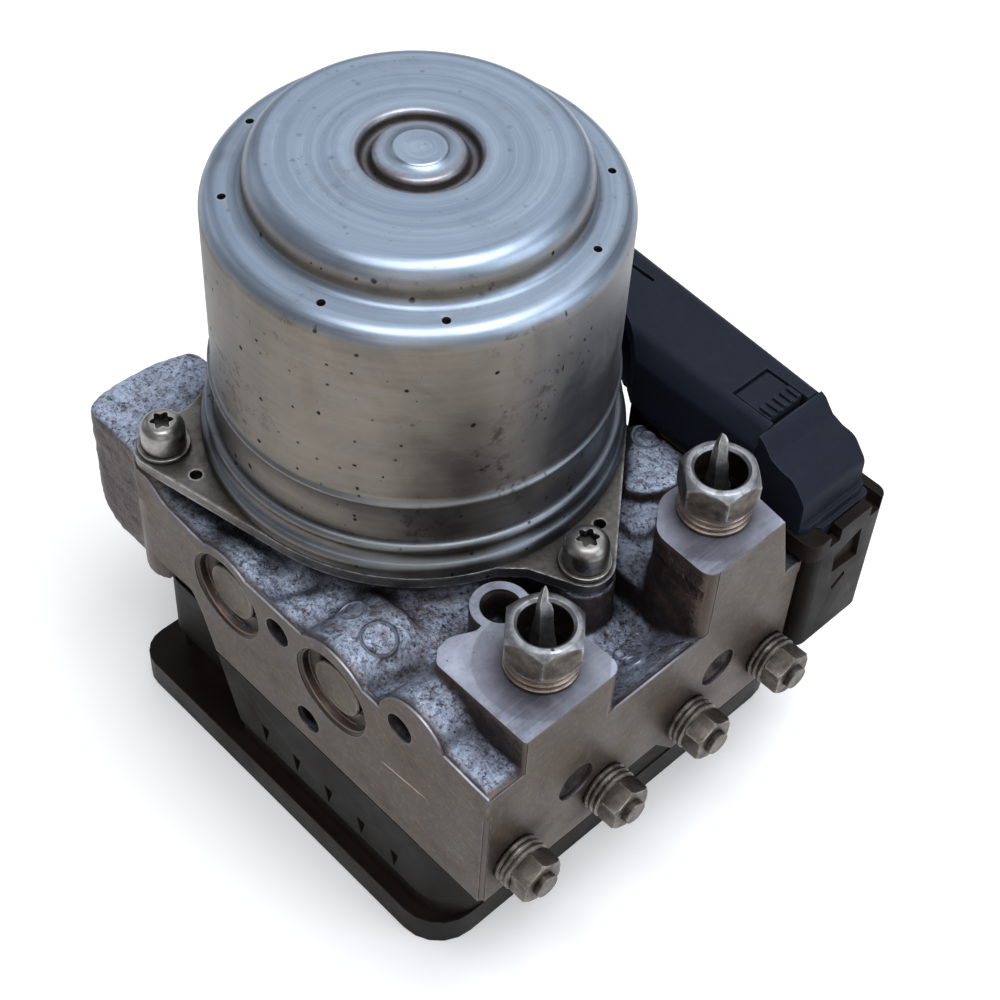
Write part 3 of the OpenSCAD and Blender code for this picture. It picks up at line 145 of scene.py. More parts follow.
def lathe(profile, steps, place=None, closed=False):
    """Spins a profile of (radius, height) in millimetres round Z into a closed shell."""
    bm = bmesh.new()
    verts = [bm.verts.new((r * MM, 0, z * MM)) for r, z in profile]
    pairs = list(zip(verts, verts[1:]))
    if closed:
        pairs.append((verts[-1], verts[0]))
    edges = [bm.edges.new(p) for p in pairs]
    bmesh.ops.spin(
        bm, geom=verts + edges, cent=(0, 0, 0), axis=(0, 0, 1), dvec=(0, 0, 0),
        angle=math.tau, steps=steps, use_merge=True, use_duplicate=False)
    bmesh.ops.remove_doubles(bm, verts=bm.verts, dist=0.001 * MM)
    bmesh.ops.recalc_face_normals(bm, faces=bm.faces)
    if place is not None:
        bmesh.ops.transform(bm, matrix=place, verts=bm.verts)
    return bm


def merged(parts):
    """One bmesh that holds several, which are freed."""
    whole = bmesh.new()
    for bm in parts:
        mesh = bpy.data.meshes.new("part")
        bm.to_mesh(mesh)
        bm.free()
        whole.from_mesh(mesh)
        bpy.data.meshes.remove(mesh)
    return whole


def loose_object(name, bm):
    """A mesh object that takes the bmesh, without a body yet."""
    mesh = bpy.data.meshes.new(name)
    bm.to_mesh(mesh)
    bm.free()
    obj = bpy.data.objects.new(name, mesh)
    bpy.context.scene.collection.objects.link(obj)
    return obj


def discard(obj):
    """Removes an object and its mesh."""
    mesh = obj.data
    bpy.data.objects.remove(obj)
    bpy.data.meshes.remove(mesh)


def applied(obj):
    """A bmesh of the object with its modifiers applied. The object is removed."""
    bpy.context.view_layer.update()
    graph = bpy.context.evaluated_depsgraph_get()
    mesh = bpy.data.meshes.new_from_object(obj.evaluated_get(graph), depsgraph=graph)
    bm = bmesh.new()
    bm.from_mesh(mesh)
    bpy.data.meshes.remove(mesh)
    discard(obj)
    return bm


def carved(bm, cutter, operation="DIFFERENCE"):
    """The first shape cut by, or kept within, the second."""
    work = loose_object("work", bm)
    tool = loose_object("tool", cutter)
    cut = work.modifiers.new("cut", "BOOLEAN")
    cut.object = tool
    cut.operation = operation
    cut.solver = "EXACT"
    out = applied(work)
    discard(tool)
    return out


def remeshed(bm, voxel):
    """The shape skinned again with even faces of the given size in millimetres."""
    work = loose_object("work", bm)
    skin = work.modifiers.new("skin", "REMESH")
    skin.mode = "VOXEL"
    skin.voxel_size = voxel * MM
    skin.adaptivity = 0
    return applied(work)


def thinned(bm, keep):
    """The shape with the given share of its faces, spent where it curves."""
    work = loose_object("work", bm)
    work.modifiers.new("thin", "DECIMATE").ratio = keep
    return applied(work)


def verts_in(geom):
    """The vertices among what a bmesh operator gives back."""
    return [item for item in geom if isinstance(item, bmesh.types.BMVert)]


def thicken(bm, vec):
    """Extrudes a flat shape along a vector into a closed slab."""
    bmesh.ops.translate(
        bm, vec=vec, verts=verts_in(bmesh.ops.extrude_face_region(bm, geom=bm.faces[:])["geom"]))
    bmesh.ops.recalc_face_normals(bm, faces=bm.faces)


def smooth(bm, verts, factor):
    """Draws each vertex towards its neighbours."""
    bmesh.ops.smooth_vert(bm, verts=verts, factor=factor, use_axis_x=True, use_axis_y=True,
                          use_axis_z=True)


def front_mouth(node):
    """The place on the block's front face over a cap's axis, with Z pointing out of the face."""
    low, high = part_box(node)
    centre = Vector(((low.x + high.x) / 2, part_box("valve_block")[0].y, (low.z + high.z) / 2))
    return Matrix.Translation(centre) @ Matrix.Rotation(math.radians(90), 4, "X")


def plate(node, away, level, lift=0.04, depth=0.35):
    """The node's flat faces on one plane, as a crisp plate that stands a hair proud of it."""
    bm = whole_faces(from_cad(node))
    away = Vector(away)
    bm.normal_update()
    others = [f for f in bm.faces if f.normal.dot(away) < 0.9999
              or abs(f.calc_center_median().dot(away) / MM - level) > 0.05]
    bmesh.ops.delete(bm, geom=others, context="FACES")
    bmesh.ops.translate(bm, vec=away * -depth * MM, verts=bm.verts)
    thicken(bm, away * (depth + lift) * MM)
    return bm


def piece(name, bm, finish, slot, stands_for=(), body=ROOT_BODY, sharp=38, bevel=0.0, segments=2):
    """A finished piece of the module on its body, in place of the named CAD nodes."""
    obj = loose_object(name, bm)
    for face in obj.data.polygons:
        face.use_smooth = True
    obj.data.set_sharp_from_angle(angle=math.radians(sharp))
    obj.data.materials.append(finish)
    if bevel:
        edge = obj.modifiers.new("edges", "BEVEL")
        edge.width = bevel * MM
        edge.segments = segments
        edge.limit_method = "ANGLE"
        edge.angle_limit = math.radians(sharp)
        edge.harden_normals = True
        edge.use_clamp_overlap = True
    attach(obj, body)
    if stands_for:
        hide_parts(*stands_for)
    return obj


def rounded(node, name, finish, slot, bevel, **more):
    """A piece that keeps the shape of a CAD node, with its edges rounded."""
    return piece(name, whole_faces(from_cad(node)), finish, slot, [node], bevel=bevel, **more)


# Shader wiring, shared effects and finishes


def tone(r, g, b):
    """A colour that is written as it shows on a screen, 0 to 255, in the renderer's scale."""
    return tuple((v / 255 / 12.92) if v < 11 else ((v / 255 + 0.055) / 1.055) ** 2.4
                 for v in (r, g, b)) + (1.0,)


def shown(colour):
    """The tone of one of the colours that a user can change."""
    return tone(*(v * 255 for v in colour))


class Wiring:
    """Adds and joins the nodes of one tree."""

    def __init__(self, tree):
        self.tree = tree

    def add(self, kind, ins=None, **props):
        """A new node, with sockets or plain values for its inputs."""
        node = self.tree.nodes.new(kind)
        for key, value in props.items():
            setattr(node, key, value)
        for key, value in (ins or {}).items():
            self.feed(node.inputs[key], value)
        return node

    def feed(self, socket, value):
        """Joins another socket to an input, or sets a plain value on it."""
        if isinstance(value, bpy.types.NodeSocket):
            self.tree.links.new(value, socket)
        else:
            socket.default_value = value

    def math(self, operation, a, b=0.0, clamp=False):
        """One step of arithmetic on values."""
        node = self.add("ShaderNodeMath", {0: a, 1: b}, operation=operation, use_clamp=clamp)
        return node.outputs[0]

    def plus(self, value, change, share, clamp=False):
        """A value raised by a share of another."""
        return self.math("ADD", value, self.math("MULTIPLY", change, share), clamp)

    def span(self, value, low, high, to_low=0.0, to_high=1.0):
        """A value stretched from one range to another, and kept within it."""
        return self.add("ShaderNodeMapRange", {
            "Value": value, "From Min": low, "From Max": high, "To Min": to_low, "To Max": to_high,
        }).outputs["Result"]

    def vector(self, operation, a, b=(0, 0, 0)):
        """One step of arithmetic on vectors."""
        node = self.add("ShaderNodeVectorMath", {0: a, 1: b}, operation=operation)
        return node.outputs["Value" if operation in ("LENGTH", "DOT_PRODUCT") else "Vector"]

    def scaled(self, vector, x, y, z):
        """A place stretched along each axis, which squeezes the pattern that reads it."""
        return self.vector("MULTIPLY", vector, (x, y, z))

    def parts(self, vector):
        """A vector's x, y and z."""
        return self.add("ShaderNodeSeparateXYZ", {"Vector": vector}).outputs

    def away(self, vector, centre, flat=False):
        """The distance from a centre, or from the upright line through it."""
        gap = self.vector("SUBTRACT", vector, centre)
        return self.vector("LENGTH", self.scaled(gap, 1.0, 1.0, 0.0) if flat else gap)

    def upward(self, low, high):
        """1 where the surface faces up, 0 on its sides."""
        normal = self.add("ShaderNodeNewGeometry").outputs["Normal"]
        return self.span(self.parts(normal)[2], low, high)

    def mix(self, factor, a, b):
        """The first colour at 0, the second at 1."""
        return self.add("ShaderNodeMix", {0: factor, 6: a, 7: b}, data_type="RGBA").outputs[2]

    def cover(self, base, mask, colour, share=None):
        """The base with a colour laid over it where the mask is, at full strength or in part."""
        if share is not None:
            mask = self.math("MULTIPLY", mask, share)
        return self.mix(mask, base, colour)

    def noise(self, vector, scale, detail=4.0, rough=0.55, distortion=0.0):
        """Cloudy values round one half."""
        return self.add("ShaderNodeTexNoise", {
            "Vector": vector, "Scale": scale, "Detail": detail, "Roughness": rough,
            "Distortion": distortion}).outputs["Fac"]

    def effect(self, name, vector, **values):
        """The outputs of a shared effect that is placed with its own values."""
        node = self.add("ShaderNodeGroup", node_tree=bpy.data.node_groups[name])
        for key, value in {"Vector": vector, **values}.items():
            self.feed(node.inputs[key], value)
        return node.outputs

    def mask(self, name, vector, **values):
        """Where a shared effect shows, from 0 to 1."""
        return self.effect(name, vector, **values)["Mask"]

    def relief(self, height, depth, strength=1.0):
        """The normal of a surface with the given height pattern, its depth in millimetres."""
        return self.add("ShaderNodeBump", {
            "Height": height, "Distance": depth * MM, "Strength": strength}).outputs[0]


def effect_group(name, inputs, outputs, wire):
    """Builds one shared effect that reads a Vector and these inputs, given with their defaults."""
    tree = bpy.data.node_groups.new(name, "ShaderNodeTree")
    tree.interface.new_socket("Vector", in_out="INPUT", socket_type="NodeSocketVector")
    for label, default in inputs.items():
        kind = "NodeSocketFloat" if isinstance(default, float) else "NodeSocketVector"
        socket = tree.interface.new_socket(label, in_out="INPUT", socket_type=kind)
        socket.default_value = default
    for label in outputs:
        tree.interface.new_socket(label, in_out="OUTPUT", socket_type="NodeSocketFloat")
    source = tree.nodes.new("NodeGroupInput")
    sink = tree.nodes.new("NodeGroupOutput")
    for label, socket in wire(Wiring(tree), source.outputs).items():
        tree.links.new(socket, sink.inputs[label])


def wire_edge_wear(g, given):
    """Where a rounded edge turns, broken up so that it looks rubbed."""
    bevel = g.add("ShaderNodeBevel", {"Radius": given["Width"]}, samples=4)
    face = g.add("ShaderNodeNewGeometry")
    turn = g.math("SUBTRACT", 1.0,
                  g.vector("DOT_PRODUCT", bevel.outputs[0], face.outputs["Normal"]))
    rubbed = g.noise(given["Vector"], given["Breakup"], 5.0, 0.7)
    edge = g.span(turn, 0.01, 0.16)
    edge = g.math("MULTIPLY", edge, g.span(rubbed, 0.36, 0.58))
    return {"Mask": g.math("MULTIPLY", edge, given["Amount"], clamp=True)}


def wire_grain(g, given):
    """Fine uneven height, coarse and fine together."""
    coarse = g.noise(given["Vector"], given["Scale"], 6.0, 0.62)
    fine = g.noise(given["Vector"], g.math("MULTIPLY", given["Scale"], 4.3), 3.0, 0.6)
    height = g.plus(g.math("MULTIPLY", coarse, 0.65), fine, 0.35)
    return {"Height": height, "Tint": g.span(coarse, 0.3, 0.7)}


def wire_grime(g, given):
    """Darkening in corners, found by ambient occlusion, that is painted shade and settled soiling,
    with more soiling in cloudy patches.
    """
    corner = g.add("ShaderNodeAmbientOcclusion", {"Distance": given["Reach"]}, samples=6)
    # Painted shade: darker where ambient occlusion finds corners, creases and gaps between parts.
    corner_shade = g.span(corner.outputs["AO"], 0.95, 0.35)
    cloud = g.noise(given["Vector"], given["Scale"], 6.0, 0.65, 0.3)
    patch = g.span(cloud, 0.42, 0.68)
    both = g.plus(g.math("MULTIPLY", corner_shade, g.span(cloud, 0.2, 0.55, 0.5, 1.1)), patch,
                  given["Patches"])
    return {"Mask": g.math("MULTIPLY", both, given["Amount"], clamp=True)}


def wire_pits(g, given):
    """Small scattered spots of uneven size."""
    wobble = g.add("ShaderNodeTexNoise", {"Vector": given["Vector"], "Scale": 900.0, "Detail": 2.0})
    moved = g.vector("ADD", given["Vector"],
                     g.scaled(wobble.outputs["Color"], 0.0005, 0.0005, 0.0005))
    cells = g.add("ShaderNodeTexVoronoi", {"Vector": moved, "Scale": given["Scale"]}).outputs
    chosen = g.add("ShaderNodeSeparateColor", {"Color": cells["Color"]}).outputs
    kept = g.math("LESS_THAN", chosen[0], given["Share"])
    size = g.math("MULTIPLY", given["Size"], g.span(chosen[1], 0.0, 1.0, 0.35, 1.0))
    spot = g.span(g.math("DIVIDE", cells["Distance"], size), 1.0, 0.6)
    return {"Mask": g.math("MULTIPLY", spot, kept, clamp=True)}


def wire_hairlines(g, given):
    """Thin broken lines that run the way in which the given place is stretched."""
    field = g.noise(given["Vector"], given["Scale"], 2.0, 0.5, 0.15)
    line = g.span(g.math("ABSOLUTE", g.math("SUBTRACT", field, 0.5)), given["Width"], 0.0)
    wide = g.noise(given["Vector"], g.math("MULTIPLY", given["Scale"], 0.55), 2.0)
    return {"Mask": g.math("MULTIPLY", line, g.span(wide, 0.52, 0.6), clamp=True)}


def wire_turning(g, given):
    """Fine lathe and spinning rings round Z, in arcs that start and stop."""
    flat = g.scaled(given["Vector"], 1.0, 1.0, 0.0)
    turn = g.parts(g.vector("NORMALIZE", flat))
    around = g.add("ShaderNodeCombineXYZ", {
        0: g.math("MULTIPLY", g.vector("LENGTH", flat), given["Rings"]), 1: turn[0],
        2: g.plus(turn[1], g.parts(given["Vector"])[2], given["Rings"])}).outputs[0]
    return {"Fine": g.noise(around, 1.0, 3.0, 0.75), "Wide": g.noise(around, 0.16, 3.0, 0.6)}


def wire_cast_ring(g, given):
    """A raised ring seen from above, round a centre."""
    off = g.math("SUBTRACT", g.away(given["Vector"], given["Centre"], flat=True), given["Radius"])
    return {"Height": g.span(g.math("ABSOLUTE", off), given["Width"], 0.0)}


def build_effects():
    """The effects that several finishes share."""
    effect_group("cast ring", {"Centre": (0, 0, 0), "Radius": 0.0037, "Width": 0.0005}, ["Height"],
                 wire_cast_ring)
    effect_group("edge wear", {"Width": 0.0006, "Breakup": 500.0, "Amount": 1.0}, ["Mask"],
                 wire_edge_wear)
    effect_group("grain", {"Scale": 900.0}, ["Height", "Tint"], wire_grain)
    effect_group("settled grime", {"Scale": 120.0, "Reach": 0.003, "Patches": 0.3, "Amount": 1.0},
                 ["Mask"], wire_grime)
    effect_group("pits", {"Scale": 350.0, "Share": 0.1, "Size": 0.15}, ["Mask"], wire_pits)
    effect_group("hairlines", {"Scale": 60.0, "Width": 0.004}, ["Mask"], wire_hairlines)
    effect_group("turning marks", {"Rings": 2500.0}, ["Fine", "Wide"], wire_turning)


def new_finish(name, metallic):
    """An empty material: itself, its wiring and the object's own coordinates."""
    material = bpy.data.materials.new(name)
    material.use_nodes = True
    material.node_tree.nodes["Principled BSDF"].inputs["Metallic"].default_value = metallic
    g = Wiring(material.node_tree)
    return material, g, g.add("ShaderNodeTexCoord").outputs["Object"]


def closed_finish(material, g, colour, shine, normal):
    """The material once its shader has its colour, roughness and normal."""
    shader = material.node_tree.nodes["Principled BSDF"]
    for label, socket in (("Base Color", colour), ("Roughness", shine), ("Normal", normal)):
        g.feed(shader.inputs[label], socket)
    return material


def general_finish(name, dark, light, metallic=0.0, rough=(0.4, 0.6), height=0.04, wear=None,
                   wear_width=0.0005, grime=None, grime_amount=0.8, patches=0.3, grime_scale=140.0,
                   pits=None, pit_share=0.06, top=None):
    """A worn finish from two tones, grain, a painted lit top, pits, rubbed edges, and soiling with
    painted shade in its corners.
    """
    material, g, where = new_finish(name, metallic)
    grain = g.effect("grain", where, Scale=900.0)
    cloud = g.noise(where, 70.0, 5.0, 0.6)
    blend = g.math("MULTIPLY", g.math("ADD", grain["Tint"], g.span(cloud, 0.3, 0.7)), 0.5)
    colour = g.mix(blend, dark, light)
    shine = g.span(cloud, 0.3, 0.7, *rough)
    # Painted light: a lighter tone where the surface faces up.
    if top:
        colour = g.cover(colour, g.upward(0.3, 0.75), top, g.span(cloud, 0.25, 0.5, 0.6, 1.0))
    if pits:
        spots = g.mask("pits", where, Scale=330.0, Share=pit_share, Size=0.16)
        colour = g.cover(colour, spots, pits)
        shine = g.plus(shine, spots, 0.2)
    if wear:
        colour = g.cover(colour, g.mask("edge wear", where, Width=wear_width), wear)
    # Soiling in patches, and painted shade in corners.
    if grime:
        shade_and_soiling = g.mask("settled grime", where, Scale=grime_scale, Amount=grime_amount,
                      Patches=patches)
        colour = g.cover(colour, shade_and_soiling, grime)
        shine = g.plus(shine, shade_and_soiling, 0.25, clamp=True)
    return closed_finish(material, g, colour, shine, g.relief(grain["Height"], height))


def can_finish(look):
    """Zinc on drawn steel: ringed on top, stained and pitted down the side, with a bright bluish
    painted reflection on top, a darker brownish painted reflection down the side, painted shade on
    the left and painted bluish light on the right.
    """
    material, g, where = new_finish("can_zinc", 1.0)
    height = g.parts(where)[2]
    radius = g.away(where, (0, 0, 0), flat=True)
    rings = g.effect("turning marks", where, Rings=2600.0)
    cloud = g.noise(where, 48.0, 6.0, 0.66, 0.5)
    blotch = g.noise(where, 190.0, 5.0, 0.7, 0.2)
    ragged = g.math("MULTIPLY", g.math("SUBTRACT", g.noise(where, 90.0, 5.0, 0.65), 0.5), 0.9)
    # Painted reflection: where the can faces up it takes the crown's bright tones, less so low
    # down.
    facing_up = g.plus(g.upward(0.2, 0.75), ragged, g.upward(0.02, 0.3), clamp=True)
    facing_up = g.math("MULTIPLY", facing_up, g.span(height, 0.088, 0.100, 0.35, 1.0))

    # The crown's tones hold a painted bright bluish reflection.
    top = g.mix(g.span(rings["Wide"], 0.3, 0.7), shown(look.can_top_dark), shown(look.can_top))
    top = g.cover(top, g.span(rings["Fine"], 0.5, 0.8), tone(196, 208, 222), 0.3)
    top = g.cover(top, g.span(cloud, 0.5, 0.75), tone(118, 126, 140), 0.35)
    moat = g.math("MULTIPLY", g.span(radius, 0.0118, 0.0100), g.span(radius, 0.0062, 0.0072))
    top = g.cover(top, moat, tone(132, 110, 98), g.span(blotch, 0.35, 0.65, 0.1, 0.75))

    drawn = g.noise(g.scaled(where, 0.06, 0.06, 1.0), 700.0, 4.0, 0.6)
    runs = g.noise(g.scaled(where, 1.0, 1.0, 0.12), 130.0, 4.0, 0.55)
    # The side tones hold a painted darker brownish reflection.
    side = g.mix(g.span(cloud, 0.3, 0.7), shown(look.can_side_dark), shown(look.can_side))
    side = g.cover(side, g.span(drawn, 0.4, 0.7), tone(170, 164, 154), 0.10)
    side = g.cover(side, g.span(runs, 0.5, 0.72), tone(92, 86, 80), 0.35)
    side = g.cover(side, g.span(blotch, 0.55, 0.7), tone(110, 116, 122), 0.3)
    side = g.cover(side, g.span(height, 0.083, 0.072), tone(92, 90, 86),
                   g.span(blotch, 0.25, 0.6, 0.25, 0.75))
    # Painted shade down the can's left side, and painted bluish light on its right side.
    to_left = g.vector("DOT_PRODUCT", where, (-0.85, -0.53, 0.0))
    side = g.cover(side, g.span(g.plus(to_left, cloud, 0.012), 0.018, 0.040, 0.0, 0.62),
                   tone(78, 80, 84))
    side = g.cover(side, g.span(to_left, -0.020, -0.034, 0.0, 0.35), tone(120, 130, 148))

    colour = g.mix(facing_up, side, top)
    rubbed = g.mask("edge wear", where, Width=0.0008, Breakup=300.0, Amount=0.4)
    colour = g.cover(colour, rubbed, tone(200, 206, 214))
    pits = g.mask("pits", where, Scale=250.0, Share=0.62, Size=0.17)
    specks = g.mask("pits", g.vector("ADD", where, (0.3, 0.1, 0.2)), Scale=520.0, Share=0.42,
                    Size=0.24)
    dashes = g.mask("pits", g.scaled(g.vector("ADD", where, (0.1, 0.4, 0.1)), 1.0, 1.0, 0.3),
                    Scale=300.0, Share=0.24, Size=0.12)
    zone = g.span(g.noise(where, 38.0, 4.0, 0.6), 0.46, 0.56)
    marks = g.math("MAXIMUM", g.math("MAXIMUM", pits, g.math("MULTIPLY", specks, zone)), dashes)
    marks = g.math("MULTIPLY", marks, g.span(facing_up, 0.0, 1.0, 0.95, 0.22))
    colour = g.cover(colour, marks, tone(34, 30, 28))
    soot = g.math("MULTIPLY", g.span(g.noise(where, 420.0, 6.0, 0.75), 0.52, 0.62),
                  g.span(g.noise(g.vector("ADD", where, (0.2, 0.2, 0.2)), 44.0, 3.0), 0.56, 0.66))
    colour = g.cover(colour, soot, tone(40, 36, 34), g.span(facing_up, 0.0, 1.0, 0.75, 0.1))
    lines = g.mask("hairlines", g.scaled(where, 1.0, 0.35, 0.9), Scale=140.0, Width=0.003)
    colour = g.cover(colour, lines, tone(170, 170, 168), 0.14)
    # Painted shade in the can's corners from ambient occlusion, broken up by cloud.
    shade_and_soiling = g.mask("settled grime", where, Scale=150.0, Reach=0.004, Patches=0.0, Amount=0.7)
    colour = g.cover(colour, shade_and_soiling, tone(46, 42, 40))

    shine = g.plus(g.span(cloud, 0.3, 0.72, 0.38, 0.54), facing_up, -0.08)
    shine = g.plus(shine, g.math("SUBTRACT", rings["Fine"], 0.5), 0.2)
    shine = g.plus(shine, g.math("MAXIMUM", marks, shade_and_soiling), 0.35, clamp=True)
    skin = g.plus(g.math("MULTIPLY", rings["Fine"], 0.8), g.noise(where, 1400.0, 3.0, 0.6), 0.35)
    skin = g.plus(g.plus(skin, cloud, 3.0), marks, -2.0)
    return closed_finish(material, g, colour, shine, g.relief(skin, 0.014, 0.8))


def casting_finish(look):
    """Cast aluminium: rough and speckled as cast, with painted light and glints on its upward skin,
    painted shade on its sides, painted highlights on its rings, and a dull brownish painted shade
    where it is machined.
    """
    material, g, where = new_finish("cast_aluminium", 0.8)
    rough_skin = g.add("ShaderNodeAttribute", attribute_name="as_cast").outputs["Fac"]
    lumps = g.noise(where, 420.0, 5.0, 0.62, 0.4)
    crinkle = g.noise(where, 1500.0, 4.0, 0.7, 0.6)
    cloud = g.noise(where, 60.0, 5.0, 0.62, 0.3)

    # Painted light on the upward skin: bright bluish speckles, partly grain tone and partly painted
    # glints.
    sparkle = g.span(g.plus(g.math("MULTIPLY", lumps, 0.5), crinkle, 0.5), 0.38, 0.53)
    high_skin = g.mix(sparkle, shown(look.cast_dark), shown(look.cast_light))
    high_skin = g.cover(high_skin, g.span(crinkle, 0.42, 0.34), tone(52, 50, 58))
    cracks = g.math("MAXIMUM", *(g.mask("hairlines", where, Scale=scale, Width=0.012)
                                 for scale in (620.0, 1100.0)))
    high_skin = g.cover(high_skin, cracks, tone(56, 54, 62), 0.6)
    # Painted shade on the skin's sides: dark brownish tones.
    side_skin = g.mix(g.span(lumps, 0.3, 0.7), tone(46, 40, 39), tone(80, 71, 69))
    cast = g.mix(g.upward(0.25, 0.85), side_skin, high_skin)
    cast = g.cover(cast, g.span(cloud, 0.5, 0.66), tone(100, 94, 102), 0.45)
    # Milled faces take the machined tones, a dull brownish painted shade.
    cut = g.mix(g.span(cloud, 0.3, 0.7), shown(look.machined_dark), shown(look.machined_light))
    colour = g.mix(rough_skin, cut, cast)

    dust = g.math("MULTIPLY", g.span(g.noise(where, 150.0, 6.0, 0.75), 0.47, 0.6), rough_skin)
    by_hump = g.span(g.away(where, (0.036, -0.031, 0.063)), 0.026, 0.006)
    by_tower = g.span(g.away(where, (0.060, 0.004, 0.064)), 0.016, 0.004)
    rust = g.plus(0.08, g.math("MAXIMUM", by_hump, by_tower), 0.4)
    colour = g.cover(colour, dust, tone(128, 96, 80), rust)
    rubbed = g.mask("edge wear", where, Width=0.0009, Breakup=260.0, Amount=0.55)
    colour = g.cover(colour, rubbed, tone(186, 190, 204))
    pits = g.mask("pits", where, Scale=300.0, Share=0.16, Size=0.13)
    colour = g.cover(colour, pits, tone(40, 38, 40))
    # Soiling in patches, and painted shade in corners.
    shade_and_soiling = g.mask("settled grime", where, Scale=110.0, Reach=0.008, Patches=0.16, Amount=0.95)
    colour = g.cover(colour, shade_and_soiling, tone(34, 30, 31))
    rings = 0.0
    for x, y, r in CAST_RINGS:
        rings = g.math("MAXIMUM", rings, g.effect(
            "cast ring", where, Centre=at(x, y, 0), Radius=r * MM, Width=0.4 * MM)["Height"])
    rings = g.math("MULTIPLY", rings, rough_skin)
    # Painted highlight: the ridges of the cast rings are made lighter.
    colour = g.cover(colour, rings, tone(182, 190, 210), 0.65)

    shine = g.plus(g.span(rough_skin, 0.0, 1.0, 0.42, 0.40), g.math("SUBTRACT", cloud, 0.5), 0.3)
    shine = g.plus(shine, g.math("MAXIMUM", shade_and_soiling, pits), 0.3, clamp=True)
    sand = g.plus(g.math("MULTIPLY", lumps, 1.2), crinkle, 0.55)
    sand = g.plus(sand, g.effect("grain", where, Scale=820.0)["Height"], 0.5)
    sand = g.plus(g.plus(sand, rings, 1.2), cracks, -0.35)
    sand = g.plus(g.math("MULTIPLY", sand, rough_skin), pits, -0.4)
    return closed_finish(material, g, colour, shine, g.relief(sand, 0.5))


def machined_finish(look):
    """Milled aluminium: finely lined on top and stained on the sides, with pale painted light on
    top, dull brown-grey painted shade on the sides and painted shade round each nut.
    """
    material, g, where = new_finish("machined_aluminium", 0.75)
    cloud = g.noise(where, 75.0, 6.0, 0.65, 0.4)
    fine = g.noise(where, 900.0, 5.0, 0.65)
    cut_lines = g.noise(g.scaled(where, 1.0, 0.05, 1.0), 1700.0, 2.0, 0.5)

    # The side tones are painted shade, dull and brown-grey.
    side = g.mix(g.span(cloud, 0.3, 0.7), shown(look.machined_dark), shown(look.machined_light))
    side = g.cover(side, g.span(fine, 0.5, 0.7), tone(124, 112, 102), 0.35)
    stain = g.span(g.noise(where, 130.0, 6.0, 0.7, 0.6), 0.54, 0.66)
    side = g.cover(side, stain, tone(52, 44, 40), 0.45)
    # The top tones are painted light, pale and bluish.
    top = g.mix(g.span(cloud, 0.3, 0.7), shown(look.pad_dark), shown(look.pad_light))
    top = g.cover(top, g.span(cut_lines, 0.5, 0.72), tone(192, 198, 214), 0.35)
    top = g.cover(top, g.span(fine, 0.55, 0.7), tone(118, 120, 134), 0.4)
    # Painted shade on the pads round each nut.
    for x, y, *_ in INLET_NUTS:
        nut_shade = g.span(g.away(where, at(x, y, 0), flat=True), 0.0119, 0.0115, 0.0, 0.45)
        top = g.cover(top, nut_shade, tone(112, 110, 120))
    colour = g.mix(g.upward(0.5, 0.9), side, top)

    x, y, z = g.parts(where)
    slant = g.plus(g.math("SUBTRACT", z, g.plus(0.0401, x, 0.115)), g.math("SUBTRACT", fine, 0.5),
                   0.0006)
    scratch = g.math("MULTIPLY", g.span(g.math("ABSOLUTE", slant), 0.00030, 0.00012),
                     g.math("MULTIPLY", g.span(x, 0.0425, 0.0440), g.span(x, 0.0547, 0.0520)))
    scratch = g.math("MULTIPLY", scratch, g.span(y, -0.0450, -0.0456))
    colour = g.cover(colour, scratch, tone(186, 172, 166), 0.8)
    worn = g.mask("edge wear", where, Width=0.0005, Breakup=320.0, Amount=0.7)
    colour = g.cover(colour, worn, tone(146, 140, 142))
    nicks = g.mask("pits", where, Scale=210.0, Share=0.16, Size=0.09)
    specks = g.mask("pits", g.vector("ADD", where, (0.2, 0.3, 0.1)), Scale=560.0, Share=0.2,
                    Size=0.16)
    marks = g.math("MAXIMUM", nicks, g.math("MULTIPLY", specks, g.span(cloud, 0.5, 0.6)))
    colour = g.cover(colour, marks, tone(30, 27, 26))
    # Soiling in patches, and painted shade in corners.
    shade_and_soiling = g.mask("settled grime", where, Scale=130.0, Reach=0.006, Patches=0.12, Amount=0.85)
    colour = g.cover(colour, shade_and_soiling, tone(44, 39, 37))

    shine = g.span(cloud, 0.3, 0.7, 0.36, 0.55)
    shine = g.plus(shine, g.math("MAXIMUM", marks, shade_and_soiling), 0.3, clamp=True)
    milled = g.plus(g.plus(g.math("MULTIPLY", cut_lines, 0.5), fine, 0.8), marks, -1.6)
    return closed_finish(material, g, colour, shine, g.relief(milled, 0.03, 0.8))


def metal(name, dark, light, rough=(0.3, 0.5), **more):
    """A worn finish on bare metal, its two tones as they show on a screen."""
    return general_finish(name, tone(*dark), tone(*light), 1.0, rough, **more)


def moulded(name, dark, light, rough=(0.42, 0.62), **more):
    """A worn finish on a dull moulded piece, its two tones as they show on a screen."""
    material = general_finish(name, tone(*dark), tone(*light), 0.0, rough, **more)
    material.node_tree.nodes["Principled BSDF"].inputs["Specular IOR Level"].default_value = 0.1
    return material


def pair(colour):
    """A dark and a light tone round one of the colours that a user can change."""
    return [[v * 255 * share for v in colour] for share in (0.86, 1.14)]


